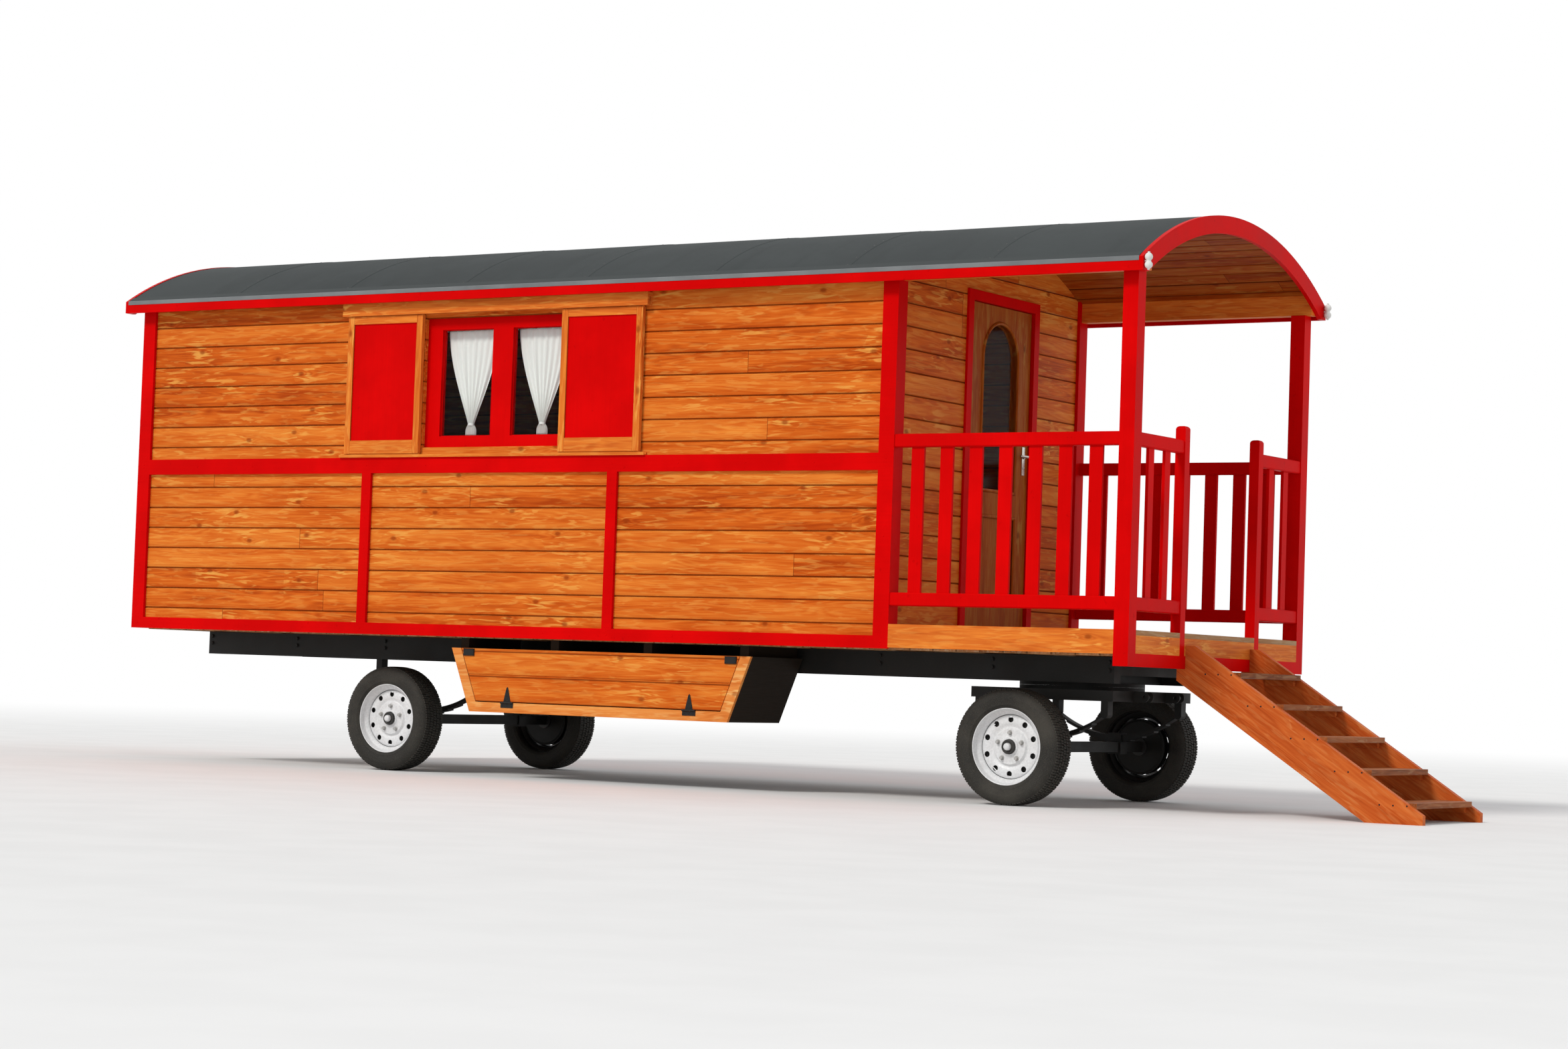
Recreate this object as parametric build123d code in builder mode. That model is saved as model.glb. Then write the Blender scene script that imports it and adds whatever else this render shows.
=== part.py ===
from build123d import *
import os
from math import atan, ceil, cos, sqrt

# Vardo wagon: a boarded cabin with a roofed porch and open stairs, on a four wheeled steel chassis.
# Millimetres. X runs from the rear wall to the stairs, Y across, Z up from the ground.
# The wagon is symmetric about Y = 0, apart from the door, the chest and their fittings.
os.makedirs("parts", exist_ok=True)

NEAR, FAR = -1, 1
SIDES = (NEAR, FAR)
SIDE_NAME = {NEAR: "near", FAR: "far"}

# Overall sizes of the body
body_width = 2300
cabin_length = 5740
porch_length = 1490
front_overhang = 60
rear_overhang = 100
eave_overhang = 75
eave_height = 75
roof_rise = 365
layer_gap = 0.3

# Walls: tongue and groove boards with a V joint at each seam
wall_thickness = 60
trim_thickness = 20
wall_lift = 6
first_board = 135
board_pitch = 130
joint_depth = 6

# Red trim on the walls
base_rail_height = 71
lower_panel_height = 928
belt_height = 97
corner_width = 100
batten_width = 72
batten_places = (1933, 3809)

# Floor and chassis
floor_board = 28
joist_height = 115
joist_width = 60
joist_pitch = 600
chassis_depth = 146
rail_inset = 430
rail_width = 80
chassis_front_setback = 400
chassis_rear_setback = 100
member_pitch = 750
member_width = 60
member_height = 100

# Roof layers, from outside in, with the drip edges and the boards at both ends
sheet_thickness = 6
roof_board = 24
board_depth = 25
barge_depth = 100
drip_gauge = 2
drip_lap = 45
drip_drop = 22

# Ornament on each lower end of the front bargeboard
bead_radius = 22
bead_taper = 18
bead_sides = 8
bead_peg = 10
bead_lift = 50
bead_length = 100

# Window, one in each side wall
window_width = 1160
window_height = 797
window_from_rear = 2925
head_height = 100
stile = 113
middle_stile = 153
casement_rail = 70
casement_thickness = 45
casement_setback = 30
glass_thickness = 5

# Curtains: width at the top, below the heading, half way, at the tie and at the foot, per pane width
curtain_shares = (1.0, 0.98, 0.52, 0.12, 0.18)
curtain_thickness = 8
curtain_heading = 40
curtain_tie_height = 87
curtain_foot_gap = 5

# Sliding shutters and their tracks
shutter_width = 590
sill_lap = 37
head_lap = 20
shutter_thickness = 28
shutter_member = 45
shutter_foot = 82
shutter_air = 6
shutter_tongue = 12
tongue_play = 3
tongue_air = 10
panel_thickness = 12
front_shutter_lap = 93
guide_height = 18
guide_floor = 6
track_height = 79
track_cover = 25
track_lip = 14
track_end = 40

# Door in the porch wall
door_width = 740
door_centre = 100
door_height = 1917
door_thickness = 40
door_gap = 5
leaf_setback = 8
jamb = 35
architrave = 60
architrave_thickness = 15
light_width = 440
light_sill = 817
light_straight = 790
kick_rail = 158.5
lock_rail = 138.5
recess_margin = 10
recess_depth = 7

# Hinges and lever handles of the door
knuckle_radius = 8
knuckle_height = 40
pin_radius = 4
pin_fit = 0.1
hinge_play = 0.5
hinge_plate = 2.5
hinge_plate_width = 32
hinge_inset = 220
handle_height = 1050
handle_setback = 55
handle_reach = 45
handle_neck = 14
lever_height = 20
lever_gauge = 12
lever_length = 116
lever_overhang = 12
rose_gauge = 4
rose_width = 36
rose_height = 170
rose_drop = 25

# Porch
corner_post_width = 90
gate_post_width = 60
gate_gap = 920
post_drop = 168
gate_post_height = 1143
front_trim_height = 71
side_board_lift = 6
deck_board_width = 142
deck_joint = 6
beam_lift = 15
beam_setback = 10
railing_height = 1064
rail_height = 75
low_rail_lift = 177
rail_depth = 50
rail_setback = 5
rail_edge = 6
baluster_width = 80
baluster_thickness = 18
side_balusters = 7
front_baluster_width = 65
front_balusters = 2

# Stairs
tread_count = 5
going = 258
lowest_tread = 113
top_step = 206
tread_thickness = 30
tread_depth = 235
nosing_reach = 318
stringer_thickness = 38
stringer_depth = 220
stringer_setdown = 66
stair_width = 887
toe_length = 50
hook_length = 51

# Wheels and axles
wheel_diameter = 650
tyre_width = 200
track_outer = 1820
shoulder_drop = 12
shoulder_set = 9
rim_radius = 215
rim_gauge = 10
rim_setback = 16
disc_dish = 36
disc_gauge = 10
disc_holes = 10
disc_hole_radius = 13
disc_hole_sides = 8
disc_hole_circle = 155
front_axle_back = 860
rear_axle_back = 5272
axle_bar = 60
axle_bar_gap = 10
spindle_radius = 25
spindle_fit = 0.05
spindle_reach = 20
spindle_air = 5
hub_radius = 52
hub_depth = 60
hub_foot = 62
hub_rise = 22
hub_cap_radius = 38
hub_cap_rise = 48

# Steering turntable and leaf springs
turntable_radius = 360
turntable_bore = 290
ring_height = 20
frame_bar = 60
frame_length = 900
spring_span = 800
spring_sag = 130
leaf = 8
leaf_count = 5
leaf_width = 60
leaf_step = 75
spring_eye = 22
hanger_length = 72.7
clamp_rod = 12

# Drawbar lugs on the turning frame
lug_spread = 200
lug_gap = 50
lug_plate = 10
lug_reach = 60
pin_hole_radius = 11

# Chest slung under the floor on the near side
chest_rear_back = 4600
chest_front_back = 2423
chest_slant = 150
chest_hang = 62
chest_height = 383
chest_setback = 40
chest_depth = 560
chest_board = 20
chest_sill = 60
chest_stile = 70
chest_gap = 5
hanger_setback = 40
hanger_count = 4

# Strap hinges and catches of the chest
strap_backs = (4163, 2838)
strap_plate = 3
strap_length = 90
strap_point = 6
barrel_radius = 5.5
barrel_half = 28
barrel_pin = 3
base_air = 1
base_height = 24
base_half = 46
catch_width = 80
catch_height = 44
catch_thickness = 10
catch_drop = 2
catch_edge = 20

# Heights that follow from the sizes, from the ground up
wheel_radius = wheel_diameter / 2
pack_low = wheel_radius + axle_bar / 2
main_leaf_low = pack_low + (leaf_count - 1) * leaf
eye_z = main_leaf_low + leaf / 2 + spring_sag
frame_low = eye_z + hanger_length
frame_top = frame_low + frame_bar
upper_ring_low = frame_top + ring_height + layer_gap
chassis_low = upper_ring_low + ring_height
chassis_top = chassis_low + chassis_depth
floor_low = chassis_top + joist_height
floor_top = floor_low + floor_board
wall_low = chassis_top + wall_lift
first_seam = wall_low + first_board
base_rail_top = wall_low + base_rail_height
belt_low = base_rail_top + lower_panel_height
belt_top = belt_low + belt_height
guide_top = belt_top + guide_height
shutter_low = guide_top + shutter_air
window_low = shutter_low + sill_lap
window_top = window_low + window_height
shutter_top = window_top + head_lap
track_low = shutter_top + shutter_air
track_top = track_low + track_height
eave_low = window_top + head_height
eave_top = eave_low + eave_height
roof_apex = eave_top + roof_rise
door_top = floor_top + door_height
light_low = floor_top + light_sill
light_spring = light_low + light_straight
post_low = floor_low - post_drop
gate_post_top = floor_top + gate_post_height
rail_cap_top = floor_top + railing_height
low_rail_top = floor_top + low_rail_lift
beam_low = eave_low + beam_lift
stringer_top = floor_top - stringer_setdown
rise = (floor_top - top_step - lowest_tread) / (tread_count - 1)
chest_top = chassis_top - chest_hang
chest_low = chest_top - chest_height

# Places that follow from the sizes
half_width = body_width / 2
chest_face = half_width - chest_setback
wall_face = half_width - trim_thickness
wall_back = wall_face - wall_thickness
last_nosing = nosing_reach + (tread_count - 1) * going
stair_foot = last_nosing + toe_length
porch_front = (cabin_length + porch_length + rear_overhang - stair_foot) / 2
cabin_front = porch_front - porch_length
cabin_rear = cabin_front - cabin_length
roof_front = porch_front + front_overhang
roof_rear = cabin_rear - rear_overhang
porch_wall_face = cabin_front - trim_thickness
porch_wall_back = porch_wall_face - wall_thickness
rear_wall_face = cabin_rear + trim_thickness
rear_wall_back = rear_wall_face + wall_thickness
porch_half = half_width - board_depth - layer_gap

# The roof is one circular arc through both eaves and the apex
roof_half = half_width + eave_overhang
roof_radius = (roof_half**2 + roof_rise**2) / (2 * roof_rise)
roof_centre = roof_apex - roof_radius
lining_radius = roof_radius - sheet_thickness - layer_gap - roof_board
eave_inner = roof_half - trim_thickness


def roof_z(radius, y):
    """Height of a roof layer of the given radius, at a distance from the middle."""
    return roof_centre + sqrt(radius**2 - y**2)


def bar(x, y, z):
    """A straight bar in the open part, given its two ends along X, Y and Z."""
    with Locations((min(x), min(y), min(z))):
        Box(abs(x[1] - x[0]), abs(y[1] - y[0]), abs(z[1] - z[0]), align=(Align.MIN,) * 3)


def save(piece, name):
    """Label a finished piece and write its STEP file."""
    piece.part.label = name
    export_step(piece.part, f"parts/{name}.step")


def roof_band(outer, inner, y_from, y_to):
    """Face between two roof radii and two distances across, in the open YZ sketch."""
    across = (y_from, (y_from + y_to) / 2, y_to)
    with BuildLine() as outline:
        top = ThreePointArc([(y, roof_z(outer, y)) for y in across])
        low = ThreePointArc([(y, roof_z(inner, y)) for y in across])
        Line(top @ 0, low @ 0)
        Line(top @ 1, low @ 1)
    make_face(outline.edges())


def cladding(face, back, low, face_top, back_top, seam=first_seam, pitch=board_pitch):
    """Section of a boarded wall, from its back to its grooved face, in the open sketch."""
    inward = joint_depth if back > face else -joint_depth
    points = [(back, low), (face, low)]
    while seam < face_top - joint_depth:
        if seam > low + joint_depth:
            points += [(face, seam - joint_depth), (face + inward, seam), (face, seam + joint_depth)]
        seam += pitch
    points += [(face, face_top), (back, back_top)]
    with BuildLine() as outline:
        Polyline(points, close=True)
    make_face(outline.edges())


# Chassis: two long rails with cross members, deeper where the turntable ring is bolted on
chassis_rear = cabin_rear + chassis_rear_setback
chassis_front = porch_front - chassis_front_setback
front_axle_x = porch_front - front_axle_back
rear_axle_x = porch_front - rear_axle_back
ring_member_offset = (turntable_radius + turntable_bore) / 2 - member_width
member_count = ceil((chassis_front - chassis_rear) / member_pitch)
with BuildPart() as chassis_frame:
    for side in SIDES:
        bar(
            (chassis_rear, chassis_front),
            (side * rail_inset, side * (rail_inset + rail_width)),
            (chassis_low, chassis_top),
        )
    reach = rail_inset - layer_gap
    for number in range(member_count + 1):
        x = chassis_rear + number * (chassis_front - chassis_rear - member_width) / member_count
        bar((x, x + member_width), (-reach, reach), (chassis_top - member_height, chassis_top))
    for offset in (-ring_member_offset, ring_member_offset):
        x = front_axle_x + offset - member_width / 2
        bar((x, x + member_width), (-reach, reach), (chassis_low, chassis_top))
save(chassis_frame, "chassis_frame")

# Turntable: a fixed ring under the chassis and a turning ring on the steering frame
for ring_name, ring_low in (("turntable_ring", upper_ring_low), ("turning_ring", frame_top)):
    with BuildPart() as ring:
        with BuildSketch(Plane.XY.offset(ring_low)):
            with Locations((front_axle_x, 0)):
                Circle(turntable_radius)
                Circle(turntable_bore, mode=Mode.SUBTRACT)
        extrude(amount=ring_height)
    save(ring, ring_name)

frame_member_offset = (turntable_radius + turntable_bore) / 2 - frame_bar
spring_place = rail_inset + rail_width / 2
frame_half = spring_place + frame_bar / 2
with BuildPart() as steering_frame:
    for side in SIDES:
        bar(
            (front_axle_x - frame_length / 2, front_axle_x + frame_length / 2),
            (side * (spring_place - frame_bar / 2), side * frame_half),
            (frame_low, frame_top),
        )
    for offset in (-frame_member_offset, frame_member_offset, frame_length / 2 - frame_bar / 2):
        x = front_axle_x + offset - frame_bar / 2
        bar((x, x + frame_bar), (-frame_half, frame_half), (frame_low, frame_top))
    # Drawbar lugs: two pairs of plates on the front member, each with a pin hole across
    lug_root = front_axle_x + frame_length / 2
    lug_z = (frame_low + frame_top) / 2
    for side in SIDES:
        for edge in (-1, 1):
            plate_mid = side * lug_spread + edge * (lug_gap + lug_plate) / 2
            with BuildSketch(Plane.XZ.offset(-plate_mid + lug_plate / 2)):
                with Locations((lug_root + lug_reach / 2, lug_z)):
                    Rectangle(lug_reach, frame_bar)
                with Locations((lug_root + lug_reach, lug_z)):
                    Circle(frame_bar / 2)
                    Circle(pin_hole_radius, mode=Mode.SUBTRACT)
            extrude(amount=-lug_plate)
save(steering_frame, "steering_frame")


# Leaf springs and axles. Each spring is a pack of leaves, longest on top, hung by its eyes
spring_radius = ((spring_span / 2) ** 2 + spring_sag**2) / (2 * spring_sag)
spring_centre = main_leaf_low + leaf + spring_radius


def leaf_arc(x, half, radius):
    """Three points of a leaf's face: one end, the middle and the other end."""
    return [(x + reach, spring_centre - sqrt(radius**2 - reach**2)) for reach in (-half, 0, half)]


def leaf_pack(x, y, hanger_top):
    """Add one leaf spring with its eyes and hangers, at an axle and a distance across."""
    spring_plane = Plane.XZ.offset(-y - leaf_width / 2)
    for number in range(leaf_count):
        inner = spring_radius + number * leaf
        half = spring_span / 2 - number * leaf_step
        with BuildSketch(spring_plane) as section:
            with BuildLine():
                top = ThreePointArc(leaf_arc(x, half, inner))
                low = ThreePointArc(leaf_arc(x, half, inner + leaf))
                Line(top @ 0, low @ 0)
                Line(top @ 1, low @ 1)
            make_face()
        extrude(section.sketch, amount=leaf_width)
    for end in (-1, 1):
        with BuildSketch(spring_plane) as section:
            with Locations((x + end * spring_span / 2, eye_z)):
                Circle(spring_eye)
        extrude(section.sketch, amount=leaf_width)
        bar(
            (x + end * spring_span / 2 - spring_eye, x + end * spring_span / 2 + spring_eye),
            (y - leaf_width / 2, y + leaf_width / 2),
            (eye_z, hanger_top),
        )


track_centre = (track_outer - tyre_width) / 2
hub_inner = track_centre - hub_depth
spindle_end = track_centre + spindle_reach


def axle(x, hanger_top):
    """Add a square axle with spindles, on its two springs."""
    for side in SIDES:
        leaf_pack(x, side * spring_place, hanger_top)
        # clamp that holds the spring down on the axle
        bar(
            (x - axle_bar / 2 - clamp_rod, x + axle_bar / 2 + clamp_rod),
            (side * spring_place - leaf_width / 2 - clamp_rod, side * spring_place + leaf_width / 2 + clamp_rod),
            (wheel_radius - axle_bar / 2 - clamp_rod, main_leaf_low + leaf + clamp_rod),
        )
    bar(
        (x - axle_bar / 2, x + axle_bar / 2),
        (axle_bar_gap - hub_inner, hub_inner - axle_bar_gap),
        (wheel_radius - axle_bar / 2, wheel_radius + axle_bar / 2),
    )
    with Locations(Location((x, 0, wheel_radius), (90, 0, 0))):
        Cylinder(spindle_radius, 2 * (spindle_end - spindle_air))


with BuildPart() as front_axle:
    axle(front_axle_x, frame_low)
save(front_axle, "front_axle")

with BuildPart() as rear_axle:
    axle(rear_axle_x, chassis_low)
save(rear_axle, "rear_axle")

# Wheels: section drawn as distance from the axle against distance along it, outer side positive
half_tyre = tyre_width / 2
rim_half = half_tyre - rim_setback
for axle_name, axle_x in (("front", front_axle_x), ("rear", rear_axle_x)):
    for side in SIDES:
        hub_plane = Plane((axle_x, side * track_centre, wheel_radius), x_dir=(1, 0, 0), z_dir=(0, side, 0))
        section_plane = Plane(hub_plane.origin, x_dir=(0, 0, 1), z_dir=(-side, 0, 0))
        with BuildPart() as tyre:
            with BuildSketch(section_plane):
                with BuildLine():
                    half_section = [
                        (rim_radius + layer_gap, half_tyre),
                        (wheel_radius - shoulder_drop, half_tyre),
                        (wheel_radius, half_tyre - shoulder_set),
                    ]
                    Polyline(half_section + [(r, -along) for r, along in reversed(half_section)], close=True)
                make_face()
            revolve(axis=Axis(hub_plane.origin, (0, 1, 0)))
        save(tyre, f"tyre_{axle_name}_{SIDE_NAME[side]}")

        with BuildPart() as rim:
            barrel_inner = rim_radius - rim_gauge
            with BuildSketch(section_plane):
                with BuildLine():
                    Polyline(
                        (rim_radius, -rim_half),
                        (rim_radius, rim_half),
                        (barrel_inner, rim_half),
                        (barrel_inner, disc_dish + disc_gauge),
                        (hub_foot, disc_dish + disc_gauge),
                        (hub_radius, disc_dish + hub_rise),
                        (hub_cap_radius, disc_dish + hub_rise),
                        (hub_cap_radius, disc_dish + hub_cap_rise),
                        (0, disc_dish + hub_cap_rise),
                        (0, spindle_reach),
                        (spindle_radius + spindle_fit, spindle_reach),
                        (spindle_radius + spindle_fit, -hub_depth),
                        (hub_radius, -hub_depth),
                        (hub_radius, disc_dish),
                        (barrel_inner, disc_dish),
                        (barrel_inner, -rim_half),
                        close=True,
                    )
                make_face()
            revolve(axis=Axis(hub_plane.origin, (0, 1, 0)))
            with BuildSketch(hub_plane.offset(disc_dish + disc_gauge)):
                with PolarLocations(disc_hole_circle, disc_holes):
                    RegularPolygon(disc_hole_radius, disc_hole_sides)
            extrude(amount=-disc_gauge, mode=Mode.SUBTRACT)
        save(rim, f"rim_{axle_name}_{SIDE_NAME[side]}")

# Floor: joists and bearers over the chassis, then boards in the cabin and a slatted porch deck
gate_inner = gate_gap / 2
gate_outer = gate_inner + gate_post_width
post_inner = half_width - corner_post_width
post_back = porch_front - corner_post_width
header_face = porch_front - gate_post_width
floor_length = header_face - rear_wall_back
joist_count = ceil(floor_length / joist_pitch)
bearer_back = wall_back - joist_width
with BuildPart() as floor_frame:
    for number in range(joist_count + 1):
        x = rear_wall_back + number * (floor_length - joist_width) / joist_count
        bar((x, x + joist_width), (layer_gap - bearer_back, bearer_back - layer_gap), (chassis_top, floor_low))
    for side in SIDES:
        bearer = (side * bearer_back, side * wall_back)
        bar((rear_wall_back, porch_wall_face), bearer, (chassis_top, floor_low))
        porch_bearer = (side * bearer_back, side * porch_half)
        bar((porch_wall_face + layer_gap, post_back), porch_bearer, (chassis_top, floor_low))
save(floor_frame, "floor_frame")

deck_length = porch_front - porch_wall_face
deck_count = round(deck_length / (deck_board_width + deck_joint))
deck_pitch = deck_length / deck_count
with BuildPart() as floor_boards:
    bar((rear_wall_back, porch_wall_face), (-wall_back, wall_back), (floor_low, floor_top))
    for number in range(deck_count):
        x = porch_wall_face + number * deck_pitch + deck_joint
        bar((x, x + deck_pitch - deck_joint), (-porch_half, porch_half), (floor_low, floor_top))
    for side in SIDES:
        for size, inner in ((corner_post_width, post_inner), (gate_post_width, gate_inner)):
            with Locations((porch_front - size / 2, side * (inner + size / 2), floor_low)):
                Box(size, size, 3 * floor_board, mode=Mode.SUBTRACT)
save(floor_boards, "floor_boards")

# Boards round the porch floor: at the sides, and in three lengths between the front posts
side_board_low = wall_low + side_board_lift
front_board_low = post_low + front_trim_height
front_lengths = ((-post_inner, -gate_outer), (-gate_inner, gate_inner), (gate_outer, post_inner))
with BuildPart() as floor_fascia:
    for side in SIDES:
        board = (side * (half_width - board_depth), side * half_width)
        bar((cabin_front, post_back), board, (side_board_low, floor_top))
    for length in front_lengths:
        bar((header_face, porch_front), length, (front_board_low, floor_low))
save(floor_fascia, "floor_fascia")


def under_roof(y):
    """Height just under the roof lining at a distance from the middle."""
    return roof_z(lining_radius, y) - layer_gap


def gable(low, half):
    """Face of an end wall between the side walls, up to the roof arc, in the open YZ sketch."""
    with BuildLine() as outline:
        crown = ThreePointArc([(y, under_roof(y)) for y in (-half, 0, half)])
        Polyline(crown @ 0, (-half, low), (half, low), crown @ 1)
    make_face(outline.edges())


# Side walls, each with its window opening
window_centre = cabin_rear + window_from_rear
window_middle_z = (window_low + window_top) / 2
for side in SIDES:
    with BuildPart() as wall:
        with BuildSketch(Plane.YZ.offset(rear_wall_face)):
            tops = (under_roof(wall_face), under_roof(wall_back))
            cladding(side * wall_face, side * wall_back, wall_low, *tops)
        extrude(amount=porch_wall_face - rear_wall_face)
        with Locations((window_centre, side * (wall_face + wall_back) / 2, window_middle_z)):
            Box(window_width, 2 * wall_thickness, window_top - window_low, mode=Mode.SUBTRACT)
    save(wall, f"wall_{SIDE_NAME[side]}")

# End walls: the boarded section runs across, then is cut to the gable
with BuildPart() as wall_rear:
    with BuildSketch(Plane.XZ):
        cladding(rear_wall_face, rear_wall_back, wall_low, roof_apex, roof_apex)
    extrude(amount=wall_back, both=True)
    with BuildSketch(Plane.YZ.offset(cabin_rear)):
        gable(wall_low, wall_back)
    extrude(amount=2 * wall_thickness, mode=Mode.INTERSECT)
save(wall_rear, "wall_rear")

opening_low_side = door_centre - door_width / 2 - door_gap - jamb
opening_high_side = door_centre + door_width / 2 + door_gap + jamb
opening_top = door_top + door_gap + jamb
with BuildPart() as wall_porch:
    with BuildSketch(Plane.XZ):
        cladding(porch_wall_face, porch_wall_back, floor_top, roof_apex, roof_apex)
    extrude(amount=wall_back, both=True)
    with BuildSketch(Plane.YZ.offset(porch_wall_back - wall_thickness)):
        gable(floor_top, wall_back)
        with Locations((door_centre, (floor_top + opening_top) / 2)):
            Rectangle(opening_high_side - opening_low_side, opening_top - floor_top, mode=Mode.SUBTRACT)
    extrude(amount=3 * wall_thickness, mode=Mode.INTERSECT)
save(wall_porch, "wall_porch")

# Red trim: rails, corner boards and battens lie on the boards
trim_top = under_roof(half_width)
with BuildPart() as wall_trim:
    for side in SIDES:
        with BuildSketch(Plane.XZ.offset(-side * wall_face)):
            middle = (cabin_front + cabin_rear) / 2
            for low, top in ((wall_low, base_rail_top), (belt_low, belt_top)):
                with Locations((middle, (low + top) / 2)):
                    Rectangle(cabin_length, top - low)
            for x in (cabin_rear + corner_width / 2, cabin_front - corner_width / 2):
                with Locations((x, (wall_low + trim_top) / 2)):
                    Rectangle(corner_width, trim_top - wall_low)
            for place in batten_places:
                with Locations((cabin_rear + place, (base_rail_top + belt_low) / 2)):
                    Rectangle(batten_width, belt_low - base_rail_top)
        extrude(amount=-side * trim_thickness)
        corner_inner = half_width - corner_width
        for x, low in ((cabin_rear, wall_low), (porch_wall_face, floor_top)):
            with BuildSketch(Plane.YZ.offset(x)):
                with BuildLine():
                    Polyline(
                        (side * corner_inner, low),
                        (side * half_width, low),
                        (side * half_width, under_roof(half_width)),
                        (side * corner_inner, under_roof(corner_inner)),
                        close=True,
                    )
                make_face()
            extrude(amount=trim_thickness)
    for low, top in ((wall_low, base_rail_top), (belt_low, belt_top)):
        bar((cabin_rear, rear_wall_face), (-corner_inner, corner_inner), (low, top))
save(wall_trim, "wall_trim")

with BuildPart() as front_trim:
    for length in front_lengths:
        bar((header_face, porch_front), length, (post_low, front_board_low))
save(front_trim, "front_trim")

# Roof: boarded lining, grey sheet, edge boards and drip edges
barge_back_front = roof_front - board_depth
barge_back_rear = roof_rear + board_depth
roof_length = barge_back_front - barge_back_rear
fascia_length = roof_length - 2 * layer_gap
with BuildPart() as roof_lining:
    with BuildSketch(Plane.YZ.offset(barge_back_rear)):
        roof_band(lining_radius + roof_board, lining_radius, -eave_inner, eave_inner)
    extrude(amount=roof_length)
save(roof_lining, "roof_lining")

with BuildPart() as roof_sheet:
    with BuildSketch(Plane.YZ.offset(barge_back_rear)):
        roof_band(roof_radius, roof_radius - sheet_thickness, -roof_half, roof_half)
    extrude(amount=roof_length)
save(roof_sheet, "roof_sheet")

drip_outer = roof_half + layer_gap + drip_gauge
with BuildPart() as drip_edges:
    for side in SIDES:
        with BuildSketch(Plane.YZ.offset(barge_back_rear)):
            roof_band(
                roof_radius + layer_gap + drip_gauge,
                roof_radius + layer_gap,
                side * (roof_half - drip_lap),
                side * drip_outer,
            )
            drip_top = roof_z(roof_radius + layer_gap + drip_gauge / 2, drip_outer)
            with Locations((side * (drip_outer - drip_gauge / 2), drip_top - drip_drop / 2)):
                Rectangle(drip_gauge, drip_drop)
        extrude(amount=roof_length)
save(drip_edges, "drip_edges")

fascia_radius = roof_radius - sheet_thickness - layer_gap
barge_inner = roof_radius - barge_depth
barge_foot = sqrt(barge_inner**2 - (eave_low - roof_centre) ** 2)
with BuildPart() as roof_edges:
    for side in SIDES:
        with BuildSketch(Plane.YZ.offset(barge_back_rear + layer_gap)):
            with BuildLine():
                Polyline(
                    (side * eave_inner, eave_low),
                    (side * roof_half, eave_low),
                    (side * roof_half, roof_z(fascia_radius, roof_half)),
                    (side * eave_inner, roof_z(fascia_radius, eave_inner)),
                    close=True,
                )
            make_face()
        extrude(amount=fascia_length)
    for x in (roof_rear, barge_back_front):
        with BuildSketch(Plane.YZ.offset(x)):
            with BuildLine():
                crown = ThreePointArc([(y, roof_z(roof_radius, y)) for y in (-roof_half, 0, roof_half)])
                soffit = ThreePointArc([(y, roof_z(barge_inner, y)) for y in (-barge_foot, 0, barge_foot)])
                Polyline(crown @ 0, (-roof_half, eave_low), soffit @ 0)
                Polyline(crown @ 1, (roof_half, eave_low), soffit @ 1)
            make_face()
        extrude(amount=board_depth)
save(roof_edges, "roof_edges")

# White ornament on each lower end of the front bargeboard: two tapered beads, on a peg
bead_x = roof_front + bead_radius
bead_z = eave_low + bead_lift
with BuildPart() as eave_ornaments:
    for side in SIDES:
        bead_y = side * (roof_half - bead_radius - layer_gap)
        for end in (-1, 1):
            with BuildSketch(Plane.XY.offset(bead_z + end * bead_length / 4)):
                with Locations((bead_x, bead_y)):
                    RegularPolygon(bead_radius, bead_sides)
            extrude(amount=bead_length / 4, both=True, taper=bead_taper)
        bar(
            (roof_front, bead_x),
            (bead_y - bead_peg / 2, bead_y + bead_peg / 2),
            (bead_z - bead_peg / 2, bead_z + bead_peg / 2),
        )
save(eave_ornaments, "eave_ornaments")

# Porch posts and the beams they carry
beam_inner = post_inner + beam_setback
beam_outer = half_width - beam_setback
with BuildPart() as porch_posts:
    for side in SIDES:
        bar((header_face, porch_front), (side * gate_inner, side * gate_outer), (post_low, gate_post_top))
    fillet(porch_posts.faces().sort_by(Axis.Z)[-2:].edges(), radius=gate_post_width / 3)
    for side in SIDES:
        bar((post_back, porch_front), (side * post_inner, side * half_width), (post_low, beam_low))
save(porch_posts, "porch_posts")

with BuildPart() as porch_beams:
    for side in SIDES:
        with BuildSketch(Plane.YZ.offset(cabin_front)):
            with BuildLine():
                Polyline(
                    (side * beam_inner, beam_low),
                    (side * beam_outer, beam_low),
                    (side * beam_outer, under_roof(beam_outer)),
                    (side * beam_inner, under_roof(beam_inner)),
                    close=True,
                )
            make_face()
        extrude(amount=barge_back_front - cabin_front)
save(porch_beams, "porch_beams")

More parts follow.
